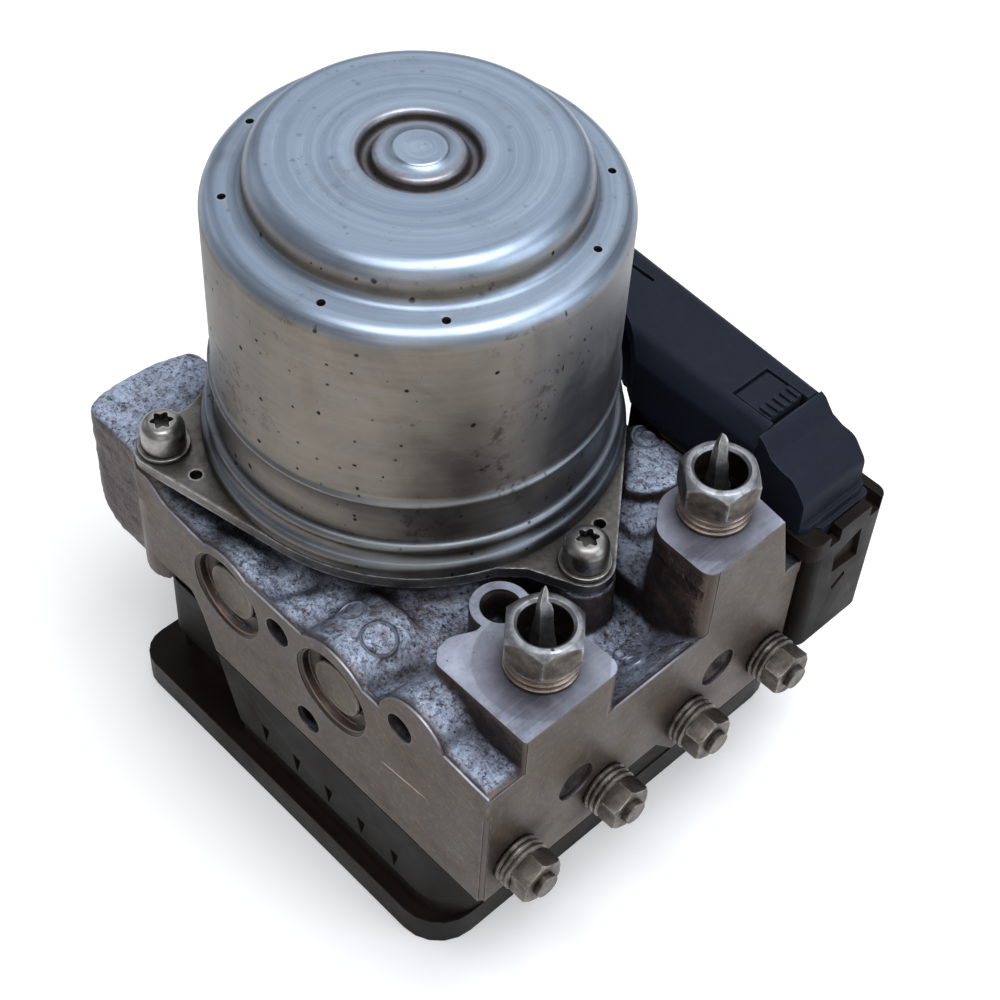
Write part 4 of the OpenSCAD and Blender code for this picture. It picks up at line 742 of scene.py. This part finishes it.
def build_finishes(look):
    """Every finish by its name, which is the record's slot where there is one."""
    # soot and the oily tone also colour the painted shade that finishes lay in corners.
    soot, oil_and_shade = tone(30, 28, 27), tone(44, 40, 36)
    bright = tone(222, 222, 220)
    return {
        "can_steel": can_finish(look),
        "cast_aluminium": casting_finish(look),
        "machined": machined_finish(look),
        "flange_steel": metal("flange_zinc", (92, 88, 82), (138, 136, 132), wear=bright,
                              wear_width=0.0009, grime=oil_and_shade, patches=0.45, pits=soot, pit_share=0.2),
        "screw_steel": metal("screw_zinc", (120, 118, 114), (176, 174, 170), (0.25, 0.45),
                             wear=bright, grime=soot),
        "plug_steel": metal("plug_steel_dull", (78, 71, 64), (120, 111, 101), (0.4, 0.6),
                            height=0.08, wear=tone(190, 176, 164), grime=soot, patches=0.4,
                            pits=soot, pit_share=0.2),
        # The nuts' top tone is painted light on their up-facing ends.
        "nut_zinc": metal("nut_worn_zinc", (56, 50, 44), (122, 114, 104), top=tone(156, 157, 162),
                          wear=tone(216, 218, 222), wear_width=0.0011, grime=tone(40, 34, 29),
                          patches=0.8, pits=soot, grime_scale=380.0, pit_share=0.4),
        "collar": metal("nut_collar", (112, 92, 78), (196, 176, 160), (0.24, 0.4),
                        wear=bright, wear_width=0.0004, grime=soot, patches=0.3),
        # The top tone is painted light on the up-facing walls of the bore mouths.
        "turned_bore": metal("turned_bore", (48, 42, 38), (82, 73, 67), (0.4, 0.55),
                             top=tone(158, 140, 130), wear=tone(120, 110, 104)),
        "pipe_steel": metal("cut_pipe", (104, 103, 102), (196, 196, 198), height=0.16,
                            wear=bright, grime=soot, patches=0.5, grime_scale=500.0),
        "dark_nut_steel": metal("side_nut_grimy", (78, 73, 68), (134, 127, 119), (0.32, 0.55),
                                wear=tone(186, 180, 170), wear_width=0.0006,
                                grime=tone(28, 25, 22), patches=0.6, grime_scale=300.0),
        "gallery": metal("gallery_plug_grimy", (34, 31, 29), (86, 79, 73), (0.4, 0.65), height=0.2,
                         wear=tone(130, 122, 112), grime=soot, patches=0.9, grime_scale=420.0,
                         pits=soot, pit_share=0.4),
        "housing_plastic": moulded("housing_black", *pair(look.housing_black), height=0.03,
                                   wear=tone(44, 39, 35), grime=tone(48, 40, 34),
                                   grime_amount=0.35, patches=0.4),
        "lid_plastic": moulded("lid_black", *pair(look.housing_black), rough=(0.34, 0.52),
                               height=0.02, wear=tone(50, 45, 41), grime=tone(46, 39, 34),
                               grime_amount=0.3, patches=0.35),
        "plug_plastic": moulded("plug_blue_black", *pair(look.plug_black), height=0.025,
                                wear=tone(54, 61, 74), grime=tone(46, 46, 50),
                                grime_amount=0.28, patches=0.35),
        "seal_rubber": moulded("seal_rubber_black", (22, 22, 22), (32, 32, 32), (0.6, 0.8)),
        "plug_seal_rubber": moulded("seal_rubber_red", (120, 56, 40), (140, 68, 50), (0.5, 0.7)),
        "magnet_ferrite": metal("ferrite", (44, 44, 46), (62, 62, 64), (0.5, 0.7)),
        "brush_plastic": moulded("brush_plate_tan", (112, 94, 74), (134, 114, 92)),
        "carbon": moulded("pressed_carbon", (26, 26, 27), (44, 44, 45), (0.35, 0.55)),
        "spring_steel": metal("spring_wire", (150, 150, 152), (196, 196, 198), (0.2, 0.35)),
        "bearing_steel": metal("bearing_ground", (188, 188, 190), (216, 216, 218), (0.12, 0.22)),
        "shaft_steel": metal("ground_steel", (160, 161, 164), (200, 201, 204), (0.18, 0.34)),
        "bronze": metal("sintered_bronze", (142, 112, 70), (172, 138, 92), (0.4, 0.6)),
        "lamination_steel": metal("lamination_stack", (84, 86, 92), (120, 122, 128), (0.4, 0.6)),
        "copper": metal("enamelled_copper", (150, 82, 48), (190, 110, 68), (0.22, 0.4)),
        "coil_black": moulded("coil_moulding", (34, 34, 35), (50, 50, 51), (0.4, 0.6)),
        "board_green": moulded("solder_mask", (16, 84, 52), (24, 104, 64), (0.25, 0.4)),
        "part_black": moulded("part_moulding", (26, 26, 27), (40, 40, 41), (0.35, 0.55)),
        "pin_tin": metal("tinned_pin", (186, 182, 164), (210, 206, 188), (0.2, 0.35)),
    }


# Properties


def screen_colour(name, description, *rgb):
    """A colour property whose default is written as it shows on a screen, 0 to 255."""
    return FloatVectorProperty(name=name, description=description, subtype="COLOR_GAMMA", size=3,
                               min=0.0, max=1.0, default=[v / 255 for v in rgb])


class ModuleLook(bpy.types.PropertyGroup):
    """Colours as they show on a screen."""

    # The can's top tones hold a painted bright bluish reflection; its side tones a painted darker
    # brownish reflection.
    can_top: screen_colour("Can top", "Bright zinc on the crown", 164, 178, 195)
    can_top_dark: screen_colour("Can top, worn", "Worn zinc on the crown", 130, 144, 162)
    can_side: screen_colour("Can side", "Zinc down the side of the can", 135, 128, 118)
    can_side_dark: screen_colour("Can side, stained", "Stained zinc", 98, 92, 84)
    # The cast skin tones are painted light on the upward skin, with painted glints in the light
    # tone.
    cast_light: screen_colour("Cast skin, high", "High spots as cast", 188, 201, 224)
    cast_dark: screen_colour("Cast skin, low", "Low spots as cast", 80, 77, 88)
    # The machined tones are painted shade on side faces, dull and brownish.
    machined_light: screen_colour("Machined side", "Milled side faces", 88, 76, 66)
    machined_dark: screen_colour("Machined side, dull", "Dull side faces", 66, 57, 51)
    # The pad tones are painted light on the milled tops.
    pad_light: screen_colour("Milled pads", "Milled pads under the nuts", 190, 196, 214)
    pad_dark: screen_colour("Milled pads, dull", "Dull spots of the pads", 108, 110, 124)
    housing_black: screen_colour("Housing", "Moulded housing and lid", 20, 16, 13)
    plug_black: screen_colour("Plug", "Moulded harness plug and wire cover", 27, 32, 43)


class ModuleSizes(bpy.types.PropertyGroup):
    """Sizes of the pieces that this file shapes itself."""

    can_steps: IntProperty(name="Can steps", description="Faces round the motor can",
                           default=192, min=48, max=384)
    block_voxel: FloatProperty(name="Casting skin", description="Face size of the casting's skin",
                               default=0.00055, min=0.0003, max=0.002, unit="LENGTH")
    soft_edge: FloatProperty(name="Moulded edge", description="Rounding of moulded edges",
                             default=0.0004, min=0, max=0.002, unit="LENGTH")
    lens: FloatProperty(name="Lens", description="Focal length of the camera",
                        default=71.7, min=20, max=200, unit="CAMERA")


# Pieces

# Every finish by its name. The first operator fills it
finishes = {}


class ABS_MODULE_OT_finishes(bpy.types.Operator):
    """Builds the shared effects and every finish, and puts them on the CAD nodes"""

    bl_idname = "abs_module.finishes"
    bl_label = "Finishes"
    bl_options = {"REGISTER", "UNDO"}

    def execute(self, context):
        build_effects()
        finishes.update(build_finishes(context.scene.module_look))
        for part in frame["record"]["subparts"]:
            materials = frame["nodes"][part["node"]].data.materials
            materials.clear()
            materials.append(finishes[part["material_slot"]])
        return {"FINISHED"}


def can_profile(crown, rim_z, r):
    """Outer and inner outline of the can, in millimetres, from the crown's centre to the pocket."""
    def bend(cx, cz, radius, start, end, count):
        steps = [start + (end - start) * i / count for i in range(count + 1)]
        return [(cx + radius * math.cos(math.radians(a)), cz + radius * math.sin(math.radians(a)))
                for a in steps]

    top = crown + BUTTON_RISE
    outline = [(0, top), (2.2, top), (4.2, top)] + bend(4.2, top - 0.8, 0.8, 90, 30, 4)
    outline += [(6.6, crown + 0.12)] + bend(7.0, crown - 1.1, 1.15, 78, 8, 5)
    outline += bend(9.1, crown - 1.35, 0.95, 188, 352, 8)[1:]
    outline += bend(11.3, crown - 1.2, 1.2, 172, 90, 6)
    outline += [(14, crown), (18, crown + 0.02), (22, crown)]
    outline += bend(r - 11.6, crown - 4.2, 4.2, 90, -4, 12)
    outline += bend(r - 5.5, crown - 5.0, 1.9, 192, 262, 6)
    outline += [(r - 4.6, crown - 7.1)] + bend(r - 3.6, crown - 10.8, 3.6, 88, 0, 10)
    outline += [(r, crown - 20), (r, crown - 34), (r, rim_z + 18.2), (r + 0.1, rim_z + 17.4)]
    outline += bend(r + 0.15, rim_z + 16.3, 0.62, 70, -62, 6)
    outline += [(r + 0.12, rim_z + 15.2), (r + 0.1, rim_z + 12), (r + 0.15, rim_z + 8)]
    outline += bend(r + 0.75, rim_z + 5.9, 1.15, 110, -50, 8)
    outline += [(r + 1.25, rim_z + 4.5), (r + 1.5, rim_z + 3.9)]
    outline += bend(r + 1.35, rim_z + 1.6, 1.5, 72, -20, 7)
    outline += [(r + RIM_REACH, rim_z + 0.6), (r + RIM_REACH, rim_z)]
    inner = r - 1.8
    outline += [(inner + 1.2, rim_z), (inner + 1, rim_z + 2.4), (inner, rim_z + 5)]
    outline += [(inner, crown - 9.6), (r - 4.6, crown - 8.8), (r - 8.6, crown - 7.6)]
    outline += [(r - 9.2, crown - 1.8), (11.4, crown - 1.8), (10.8, crown - 3.7)]
    outline += [(6.35, crown - 3.7), (6.35, crown - 1.1), (0, crown - 1.1)]
    return outline


class ABS_MODULE_OT_motor_can(bpy.types.Operator):
    """Drawn motor can with its crown, moat, vent holes, beads and small dents"""

    bl_idname = "abs_module.motor_can"
    bl_label = "Motor can"
    bl_options = {"REGISTER", "UNDO"}

    def execute(self, context):
        low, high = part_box("motor_can")
        crown, rim = high.z / MM - BUTTON_RISE, low.z / MM
        radius = high.x / MM - RIM_REACH
        bm = lathe(can_profile(crown, rim, radius), context.scene.module_sizes.can_steps)
        for angle in VENT_ANGLES:
            turn, reach = math.radians(angle), radius - VENT_INSET
            spot = at(reach * math.cos(turn), reach * math.sin(turn), crown - VENT_DROP)
            drill = bmesh.new()
            bmesh.ops.create_cone(drill, cap_ends=True, segments=20, radius1=0.72 * MM,
                                  radius2=0.8 * MM, depth=5 * MM, matrix=Matrix.Translation(spot))
            bm = carved(bm, drill)
        for place, reach, depth in CAN_DENTS:
            centre = at(*place)
            for v in bm.verts:
                away = (v.co - centre).length / MM
                if away < reach * 2:
                    v.co -= v.normal * depth * MM * math.exp(-(away / reach) ** 2 * 2)
        piece("can_shell", bm, finishes["can_steel"], "can_steel", ["motor_can"], sharp=50)
        return {"FINISHED"}


class ABS_MODULE_OT_flange(bpy.types.Operator):
    """Pressed motor flange, its three cap screws and their washers"""

    bl_idname = "abs_module.flange"
    bl_label = "Flange and screws"
    bl_options = {"REGISTER", "UNDO"}

    def execute(self, context):
        rounded("motor_flange", "flange_plate", finishes["flange_steel"], "flange_steel", 0.3,
                segments=3)
        low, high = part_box("motor_screws")
        tip, head = low.z / MM, high.z / MM - 5.8
        profile = [(0, tip), (2.5, tip), (2.5, head), (4.0, head), (4.12, head + 0.15),
                   (4.12, head + 3.9), (4.02, head + 4.4), (3.75, head + 4.9), (3.3, head + 5.35),
                   (2.9, head + 5.6), (2.4, head + 5.75), (1.6, head + 5.8), (0, head + 5.8)]
        screws = []
        for angle in SCREW_ANGLES:
            socket = bmesh.new()
            bmesh.ops.create_circle(socket, cap_ends=True, segments=72, radius=1.7 * MM)
            for v in socket.verts:
                v.co = v.co * (1.08 + 0.2 * math.cos(6 * math.atan2(v.co.y, v.co.x)))
            bmesh.ops.translate(socket, vec=at(0, 0, head + 4.1), verts=socket.verts)
            thicken(socket, at(0, 0, 3))
            screw = carved(lathe(profile, 48), socket)
            turn = Matrix.Rotation(math.radians(angle), 4, "Z")
            bmesh.ops.transform(screw, matrix=turn @ Matrix.Translation(at(SCREW_CIRCLE, 0, 0)),
                                verts=screw.verts)
            screws.append(screw)
        piece("cap_screws", merged(screws), finishes["screw_steel"], "screw_steel",
              ["motor_screws"], bevel=0.12)
        rounded("screw_washers", "washers", finishes["screw_steel"], "screw_steel", 0.2)
        return {"FINISHED"}


def fade(value, width):
    """0 up to zero, 1 from the given width on, and straight between."""
    return min(max(value / width, 0), 1)


def as_cast(x, y, z):
    """1 on the casting's rough skin and 0 on its milled faces, for a place in millimetres."""
    pad = FRONT_PAD_SKIN if z < PAD_STEP else REAR_PAD_SKIN
    sides = fade(y - FRONT_SKIN, SIDE_FADE) * fade(PORT_SKIN - x, SIDE_FADE)
    return sides * fade(pad - z, PAD_FADE)


def sunk(x, y, hollow):
    """How far a smooth hollow sinks the skin at a place, in millimetres, or 0 well outside it."""
    x0, y0, x1, y1, width, depth = hollow
    along = Vector((x1 - x0, y1 - y0)).normalized()
    off = Vector((x - x0, y - y0))
    run = min(max(off.dot(along), 0), math.hypot(x1 - x0, y1 - y0))
    gap = (off - along * run).length / width
    return depth * math.exp(-gap * gap) if gap < 3 else 0.0


def lifted(x, y, ring):
    """How far a cast ring lifts the skin at a place, in millimetres, or 0 well outside it."""
    ring_x, ring_y, radius = ring
    off = (math.hypot(x - ring_x, y - ring_y) - radius) / RING_WIDTH
    return RING_RISE * math.exp(-off * off) if abs(off) < 3 else 0.0


class ABS_MODULE_OT_casting(bpy.types.Operator):
    """Cast valve block with its lumpy skin, its marks, its milled faces and its bore mouths"""

    bl_idname = "abs_module.casting"
    bl_label = "Valve block"
    bl_options = {"REGISTER", "UNDO"}

    def execute(self, context):
        low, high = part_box("valve_block")
        well = [(0, -3.3), (8.75, -3.3), (8.75, 1.0), (0, 1.0)]
        wells = merged([lathe(well, 64, front_mouth(node)) for node in FRONT_CAPS])
        voxel = context.scene.module_sizes.block_voxel / MM * 1.0
        bm = remeshed(carved(from_cad("valve_block"), wells), voxel)
        self.roughen(bm)
        for v in bm.verts:
            v.co.x = max(v.co.x, low.x)
        triangles = len(bm.faces) * 2
        if triangles > MOST_TRIANGLES:
            bm = thinned(bm, MOST_TRIANGLES / triangles)
        piece("block_casting", bm, finishes["cast_aluminium"], "cast_aluminium", ["valve_block"],
              sharp=60)

        front_pad = INLET_NUTS[0][2]
        planes = [((0, -1, 0), -low.y / MM), ((1, 0, 0), PORT_PLANE), ((0, 0, 1), front_pad),
                  ((0, 0, 1), high.z / MM)]
        plates = merged([plate("valve_block", away, level) for away, level in planes])
        piece("milled_faces", plates, finishes["machined"], "cast_aluminium", bevel=0.16)
        mouth = [(10.2, -1.2), (10.2, 0.015), (9.7, 0.015), (9.35, -0.12), (8.95, -0.5),
                 (8.7, -0.6), (8.6, -0.75), (8.55, -2.0), (8.4, -2.15), (7.0, -2.45),
                 (6.45, -2.9), (6.35, -3.4), (10.2, -3.4)]
        mouths = merged([lathe(mouth, 96, front_mouth(node), closed=True) for node in FRONT_CAPS])
        piece("bore_mouths", mouths, finishes["turned_bore"], "cast_aluminium", sharp=28)
        return {"FINISHED"}

    def roughen(self, bm):
        """Softens the rough skin's edges, gives it lumps and hollows, and raises its cast rings."""
        layer = bm.verts.layers.float.new("as_cast")
        for v in bm.verts:
            v[layer] = as_cast(*(v.co / MM))
        rough = [v for v in bm.verts if v[layer] > 0.5]
        smooth(bm, bm.verts, 0.5)
        for _ in range(14):
            smooth(bm, rough, 0.6)
        bm.normal_update()
        for v in rough:
            lump = (noise.noise(v.co * 95) * 0.28 + noise.fractal(v.co * 280, 1.0, 2.0, 3) * 0.15
                    + noise.noise(v.co * 820) * 0.10)
            v.co += v.normal * lump * MM * v[layer]
            x, y = v.co.xy / MM
            if v.normal.z > 0:
                v.co.z -= sum(sunk(x, y, hollow) for hollow in CAST_HOLLOWS) * MM * v[layer]
            if v.co.z < LOW_TOP * MM:
                v.co.z += sum(lifted(x, y, ring) for ring in CAST_RINGS) * MM


class ABS_MODULE_OT_plugs(bpy.types.Operator):
    """Caps of the pump and accumulator bores, and the small gallery plugs"""

    bl_idname = "abs_module.plugs"
    bl_label = "Bore caps"
    bl_options = {"REGISTER", "UNDO"}

    def execute(self, context):
        for node, name, finish, slot in (
                ("pump_plugs", "pump_caps", "plug_steel", "plug_steel"),
                ("accumulator_plugs", "accumulator_caps", "plug_steel", "plug_steel"),
                ("gallery_plugs", "gallery_caps", "gallery", "dark_nut_steel")):
            rounded(node, name, finishes[finish], slot, 0.2)
        disc = [(0, -1.42), (4.6, -1.42), (4.85, -1.3), (5.3, -1.12), (5.62, -1.18), (5.84, -1.45),
                (5.86, -3.1), (0, -3.1)]
        discs = merged([lathe(disc, 72, front_mouth(node)) for node in FRONT_CAPS])
        piece("cap_discs", discs, finishes["plug_steel"], "plug_steel")
        return {"FINISHED"}


class ABS_MODULE_OT_nuts(bpy.types.Operator):
    """Pipe nuts with the cut and crushed ends of their pipes"""

    bl_idname = "abs_module.nuts"
    bl_label = "Pipe nuts and stubs"
    bl_options = {"REGISTER", "UNDO"}

    def execute(self, context):
        nuts, collars, pipes = [], [], []
        ring = [(5.2, 0.0), (6.2, 0.02), (6.62, 0.35), (6.62, 0.85), (6.2, 1.15), (6.2, 1.35),
                (6.5, 1.6), (6.5, 2.1), (6.1, 2.4), (6.1, 2.6), (6.4, 2.85), (6.4, 3.4),
                (6.0, 3.75), (6.0, 4.6), (5.2, 4.6)]
        for (x, y, pad, height, turn), seed in zip(INLET_NUTS, TEAR_SEEDS):
            base = at(x, y, pad)
            nuts.append(self.hex_nut(base, height, turn))
            collars.append(lathe(ring, 96, Matrix.Translation(base), closed=True))
            pipes.append(self.torn_pipe(base, height, seed))
        piece("inlet_pipe_nuts", merged(nuts), finishes["nut_zinc"], "nut_zinc", ["inlet_nuts"],
              bevel=0.22, segments=3)
        grimy = finishes["dark_nut_steel"]
        rounded("outlet_nuts", "outlet_pipe_nuts", grimy, "dark_nut_steel", 0.2)
        rounded("outlet_pipe_stubs", "outlet_pipe_ends", grimy, "pipe_steel", 0.25)
        piece("nut_collars", merged(collars), finishes["collar"], "nut_zinc")
        piece("torn_pipes", merged(pipes), finishes["pipe_steel"], "pipe_steel",
              ["inlet_pipe_stubs"], sharp=30)
        return {"FINISHED"}

    def hex_nut(self, base, height, turn):
        """A drilled hexagon nut, 13 mm across its flats, with both ends turned off its corners."""
        neck, bore, corner = 3.6, 4.65, 7.506
        bm = bmesh.new()
        bmesh.ops.create_cone(
            bm, cap_ends=True, segments=6, radius1=corner * MM, radius2=corner * MM,
            depth=(height - neck) * MM, matrix=Matrix.Translation(at(0, 0, (height + neck) / 2)))
        turned = [(bore, 3.5), (5.9, 3.5), (6.3, 3.9), (6.9, 4.5), (7.7, 5.6), (7.7, height - 1.7),
                  (6.9, height - 0.75), (6.35, height - 0.2), (6.0, height), (5.2, height),
                  (bore, height - 0.5)]
        wall = [(bore, -6.0), (5.9, -6.0), (5.9, 4.2), (bore, 4.2)]
        bm = merged([carved(bm, lathe(turned, 96, closed=True), "INTERSECT"),
                     lathe(wall, 64, closed=True)])
        place = Matrix.Translation(base) @ Matrix.Rotation(math.radians(turn), 4, "Z")
        bmesh.ops.transform(bm, matrix=place, verts=bm.verts)
        return bm

    def torn_pipe(self, base, rim, seed):
        """A pipe end inside its nut, pinched into a folded blade and torn off above the rim."""
        radius = 3.0
        bm = bmesh.new()
        loop = bmesh.ops.create_circle(bm, segments=56, radius=radius * MM)["verts"]
        bmesh.ops.translate(bm, vec=at(0, 0, -3.0), verts=loop)
        edges = bm.edges[:]
        # Height, share of the width that is left, and how far the pipe is pinched flat there
        levels = ((-1.5, 1.0, 0.0), (0.5, 1.0, 0.3), (2.5, 0.96, 0.62), (4.5, 0.86, 0.84),
                  (6.5, 0.74, 0.95), (8.5, 0.62, 1.0), (rim - 0.8, 0.55, 1.0),
                  (rim + 1.2, 0.5, 1.0), (rim + 3.0, 0.43, 1.0), (rim + 4.6, 0.32, 1.0),
                  (rim + 5.8, 0.19, 1.0), (rim + 6.6, 0.05, 1.0))
        for z, wide, pinch in levels:
            grown = bmesh.ops.extrude_edge_only(bm, edges=edges)["geom"]
            edges = [item for item in grown if isinstance(item, bmesh.types.BMEdge)]
            for v in verts_in(grown):
                a = math.atan2(v.co.y, v.co.x)
                across = math.cos(a)
                tear = noise.noise(Vector((a * 1.3, z * 0.6, seed))) * pinch
                flat = 0.2 * pinch + (1 - pinch)
                fold = (1.1 - 1.6 * abs(across - 0.1) + 0.5 * math.cos(9 * across)) * pinch * wide
                v.co = at(radius * wide * across + tear * 0.35,
                          radius * flat * math.sin(a) - 0.9 * fold + tear * 0.35,
                          z + tear * 1.2 * (z > rim - 3))
        bmesh.ops.holes_fill(bm, edges=[e for e in bm.edges if e.is_boundary], sides=0)
        bmesh.ops.recalc_face_normals(bm, faces=bm.faces)
        bmesh.ops.transform(bm, matrix=Matrix.Rotation(math.radians(28), 4, "Z"), verts=bm.verts)
        lean = at(-0.977, 0.317, 0)
        for v in bm.verts:
            v.co += lean * max(0.0, v.co.z / MM) / rim
        bmesh.ops.translate(bm, vec=base, verts=bm.verts)
        return bm


class ABS_MODULE_OT_housing(bpy.types.Operator):
    """Moulded control unit housing and its lid"""

    bl_idname = "abs_module.housing"
    bl_label = "Housing and lid"
    bl_options = {"REGISTER", "UNDO"}

    def execute(self, context):
        edge = context.scene.module_sizes.soft_edge / MM
        for node, name, slot in (("ecu_housing", "housing_shell", "housing_plastic"),
                                 ("ecu_lid", "lid_tray", "lid_plastic")):
            rounded(node, name, finishes[slot], slot, edge)
        return {"FINISHED"}


class ABS_MODULE_OT_connector(bpy.types.Operator):
    """Harness plug with its wire cover and release tongue"""

    bl_idname = "abs_module.connector"
    bl_label = "Harness plug"
    bl_options = {"REGISTER", "UNDO"}

    def execute(self, context):
        edge = context.scene.module_sizes.soft_edge / MM
        finish = finishes["plug_plastic"]
        rounded("plug_body", "plug_shell", finish, "plug_plastic", edge)
        rounded("wire_cover", "cover_shell", finish, "plug_plastic", edge)
        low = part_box("wire_cover")[0]
        # A sheet under the wire cover that blocks the view through its slit, so that the slit shows
        # as dark shade.
        sheet, can = bmesh.new(), bmesh.new()
        centre = Matrix.Translation((0.0125, low.y + 0.0100, low.z + 0.0012))
        bmesh.ops.create_cube(
            sheet, size=1, matrix=centre @ Matrix.Diagonal((0.029, 0.0165, 0.0008, 1)))
        clear = 40.2 * MM
        bmesh.ops.create_cone(
            can, cap_ends=True, segments=128, radius1=clear, radius2=clear, depth=0.4)
        piece("cover_base_shade_sheet", carved(sheet, can), finish, "plug_plastic")
        rounded("plug_latch", "tongue", finish, "plug_plastic", edge * 0.5, body="release_tongue")
        return {"FINISHED"}


class ABS_MODULE_OT_stage(bpy.types.Operator):
    """Pale floor, soft lamps and the camera"""

    bl_idname = "abs_module.stage"
    bl_label = "Floor, lamps and camera"
    bl_options = {"REGISTER", "UNDO"}

    def execute(self, context):
        scene = context.scene
        scene.view_settings.view_transform = "Standard"
        bm = bmesh.new()
        bmesh.ops.create_grid(bm, x_segments=4, y_segments=4, size=3.0)
        floor = loose_object("floor", bm)
        paint = bpy.data.materials.new("pale_floor")
        paint.use_nodes = True
        g = Wiring(paint.node_tree)
        ray = g.add("ShaderNodeLightPath").outputs
        seen = g.math("MAXIMUM", ray["Is Camera Ray"], g.math(
            "MAXIMUM", ray["Is Glossy Ray"], ray["Is Transmission Ray"]))
        inputs = paint.node_tree.nodes["Principled BSDF"].inputs
        g.feed(inputs["Base Color"], g.mix(seen, (0.36, 0.34, 0.32, 1), (0.95, 0.94, 0.93, 1)))
        g.feed(inputs["Roughness"], 0.9)
        g.feed(inputs["Specular IOR Level"], 0.0)
        g.feed(inputs["Emission Color"], (1, 1, 1, 1))
        g.feed(inputs["Emission Strength"], g.math("MULTIPLY", seen, 0.16))
        floor.data.materials.append(paint)
        world = bpy.data.worlds.new("soft_sky")
        world.use_nodes = True
        sky = world.node_tree.nodes["Background"].inputs
        sky["Color"].default_value = (0.66, 0.69, 0.73, 1)
        sky["Strength"].default_value = 0.42
        scene.world = world
        for lamp in LAMPS:
            self.lamp(*lamp)
        self.camera(scene, scene.module_sizes.lens)
        return {"FINISHED"}

    def lamp(self, name, place, size, power, colour):
        """A soft square lamp that looks at the module."""
        light = bpy.data.lights.new(name, "AREA")
        light.size = size
        light.energy = power
        light.color = colour
        obj = bpy.data.objects.new(name, light)
        obj.location = place
        aim = Vector(LAMP_AIM) - Vector(place)
        obj.rotation_euler = aim.to_track_quat("-Z", "Y").to_euler()
        bpy.context.scene.collection.objects.link(obj)

    def camera(self, scene, lens):
        """The photograph's view, down on to the corner with the ports and a little rolled."""
        down, round_z, roll = (math.radians(angle) for angle in CAMERA_ANGLES)
        back = Vector((math.sin(round_z) * math.cos(down), -math.cos(round_z) * math.cos(down),
                       math.sin(down)))
        right = Vector((math.cos(round_z), math.sin(round_z), 0))
        up = right.cross(-back)
        turned = math.cos(roll) * right + math.sin(roll) * up
        upright = -math.sin(roll) * right + math.cos(roll) * up
        data = bpy.data.cameras.new("camera")
        data.lens = lens
        data.sensor_width = 36
        data.clip_start = 0.01
        data.clip_end = 20
        camera = bpy.data.objects.new("camera", data)
        camera.matrix_world = (Matrix.Translation(CAMERA_PLACE)
                               @ Matrix((turned, upright, back)).transposed().to_4x4())
        scene.collection.objects.link(camera)
        scene.camera = camera


OPERATORS = (ABS_MODULE_OT_finishes, ABS_MODULE_OT_motor_can, ABS_MODULE_OT_flange,
             ABS_MODULE_OT_casting, ABS_MODULE_OT_plugs, ABS_MODULE_OT_nuts,
             ABS_MODULE_OT_housing, ABS_MODULE_OT_connector, ABS_MODULE_OT_stage)


class ABS_MODULE_PT_panel(bpy.types.Panel):
    """Lists the steps that dress the module"""

    bl_idname = "ABS_MODULE_PT_panel"
    bl_label = "Brake Module"
    bl_space_type = "VIEW_3D"
    bl_region_type = "UI"
    bl_category = "Brake Module"

    def draw(self, context):
        for group in (context.scene.module_sizes, context.scene.module_look):
            box = self.layout.box()
            for name in group.__annotations__:
                box.prop(group, name)
        for step in OPERATORS:
            self.layout.operator(step.bl_idname)


CLASSES = (ModuleLook, ModuleSizes) + OPERATORS + (ABS_MODULE_PT_panel,)


def register():
    """Adds the module's classes and its properties to Blender."""
    for item in CLASSES:
        bpy.utils.register_class(item)
    bpy.types.Scene.module_look = PointerProperty(type=ModuleLook)
    bpy.types.Scene.module_sizes = PointerProperty(type=ModuleSizes)


def unregister():
    """Takes them out again, the last first."""
    del bpy.types.Scene.module_sizes
    del bpy.types.Scene.module_look
    for item in reversed(CLASSES):
        bpy.utils.unregister_class(item)


def main():
    """Runs every step in order."""
    register()
    for step in OPERATORS:
        getattr(bpy.ops.abs_module, step.bl_idname.removeprefix("abs_module."))()


if __name__ == "__main__":
    main()
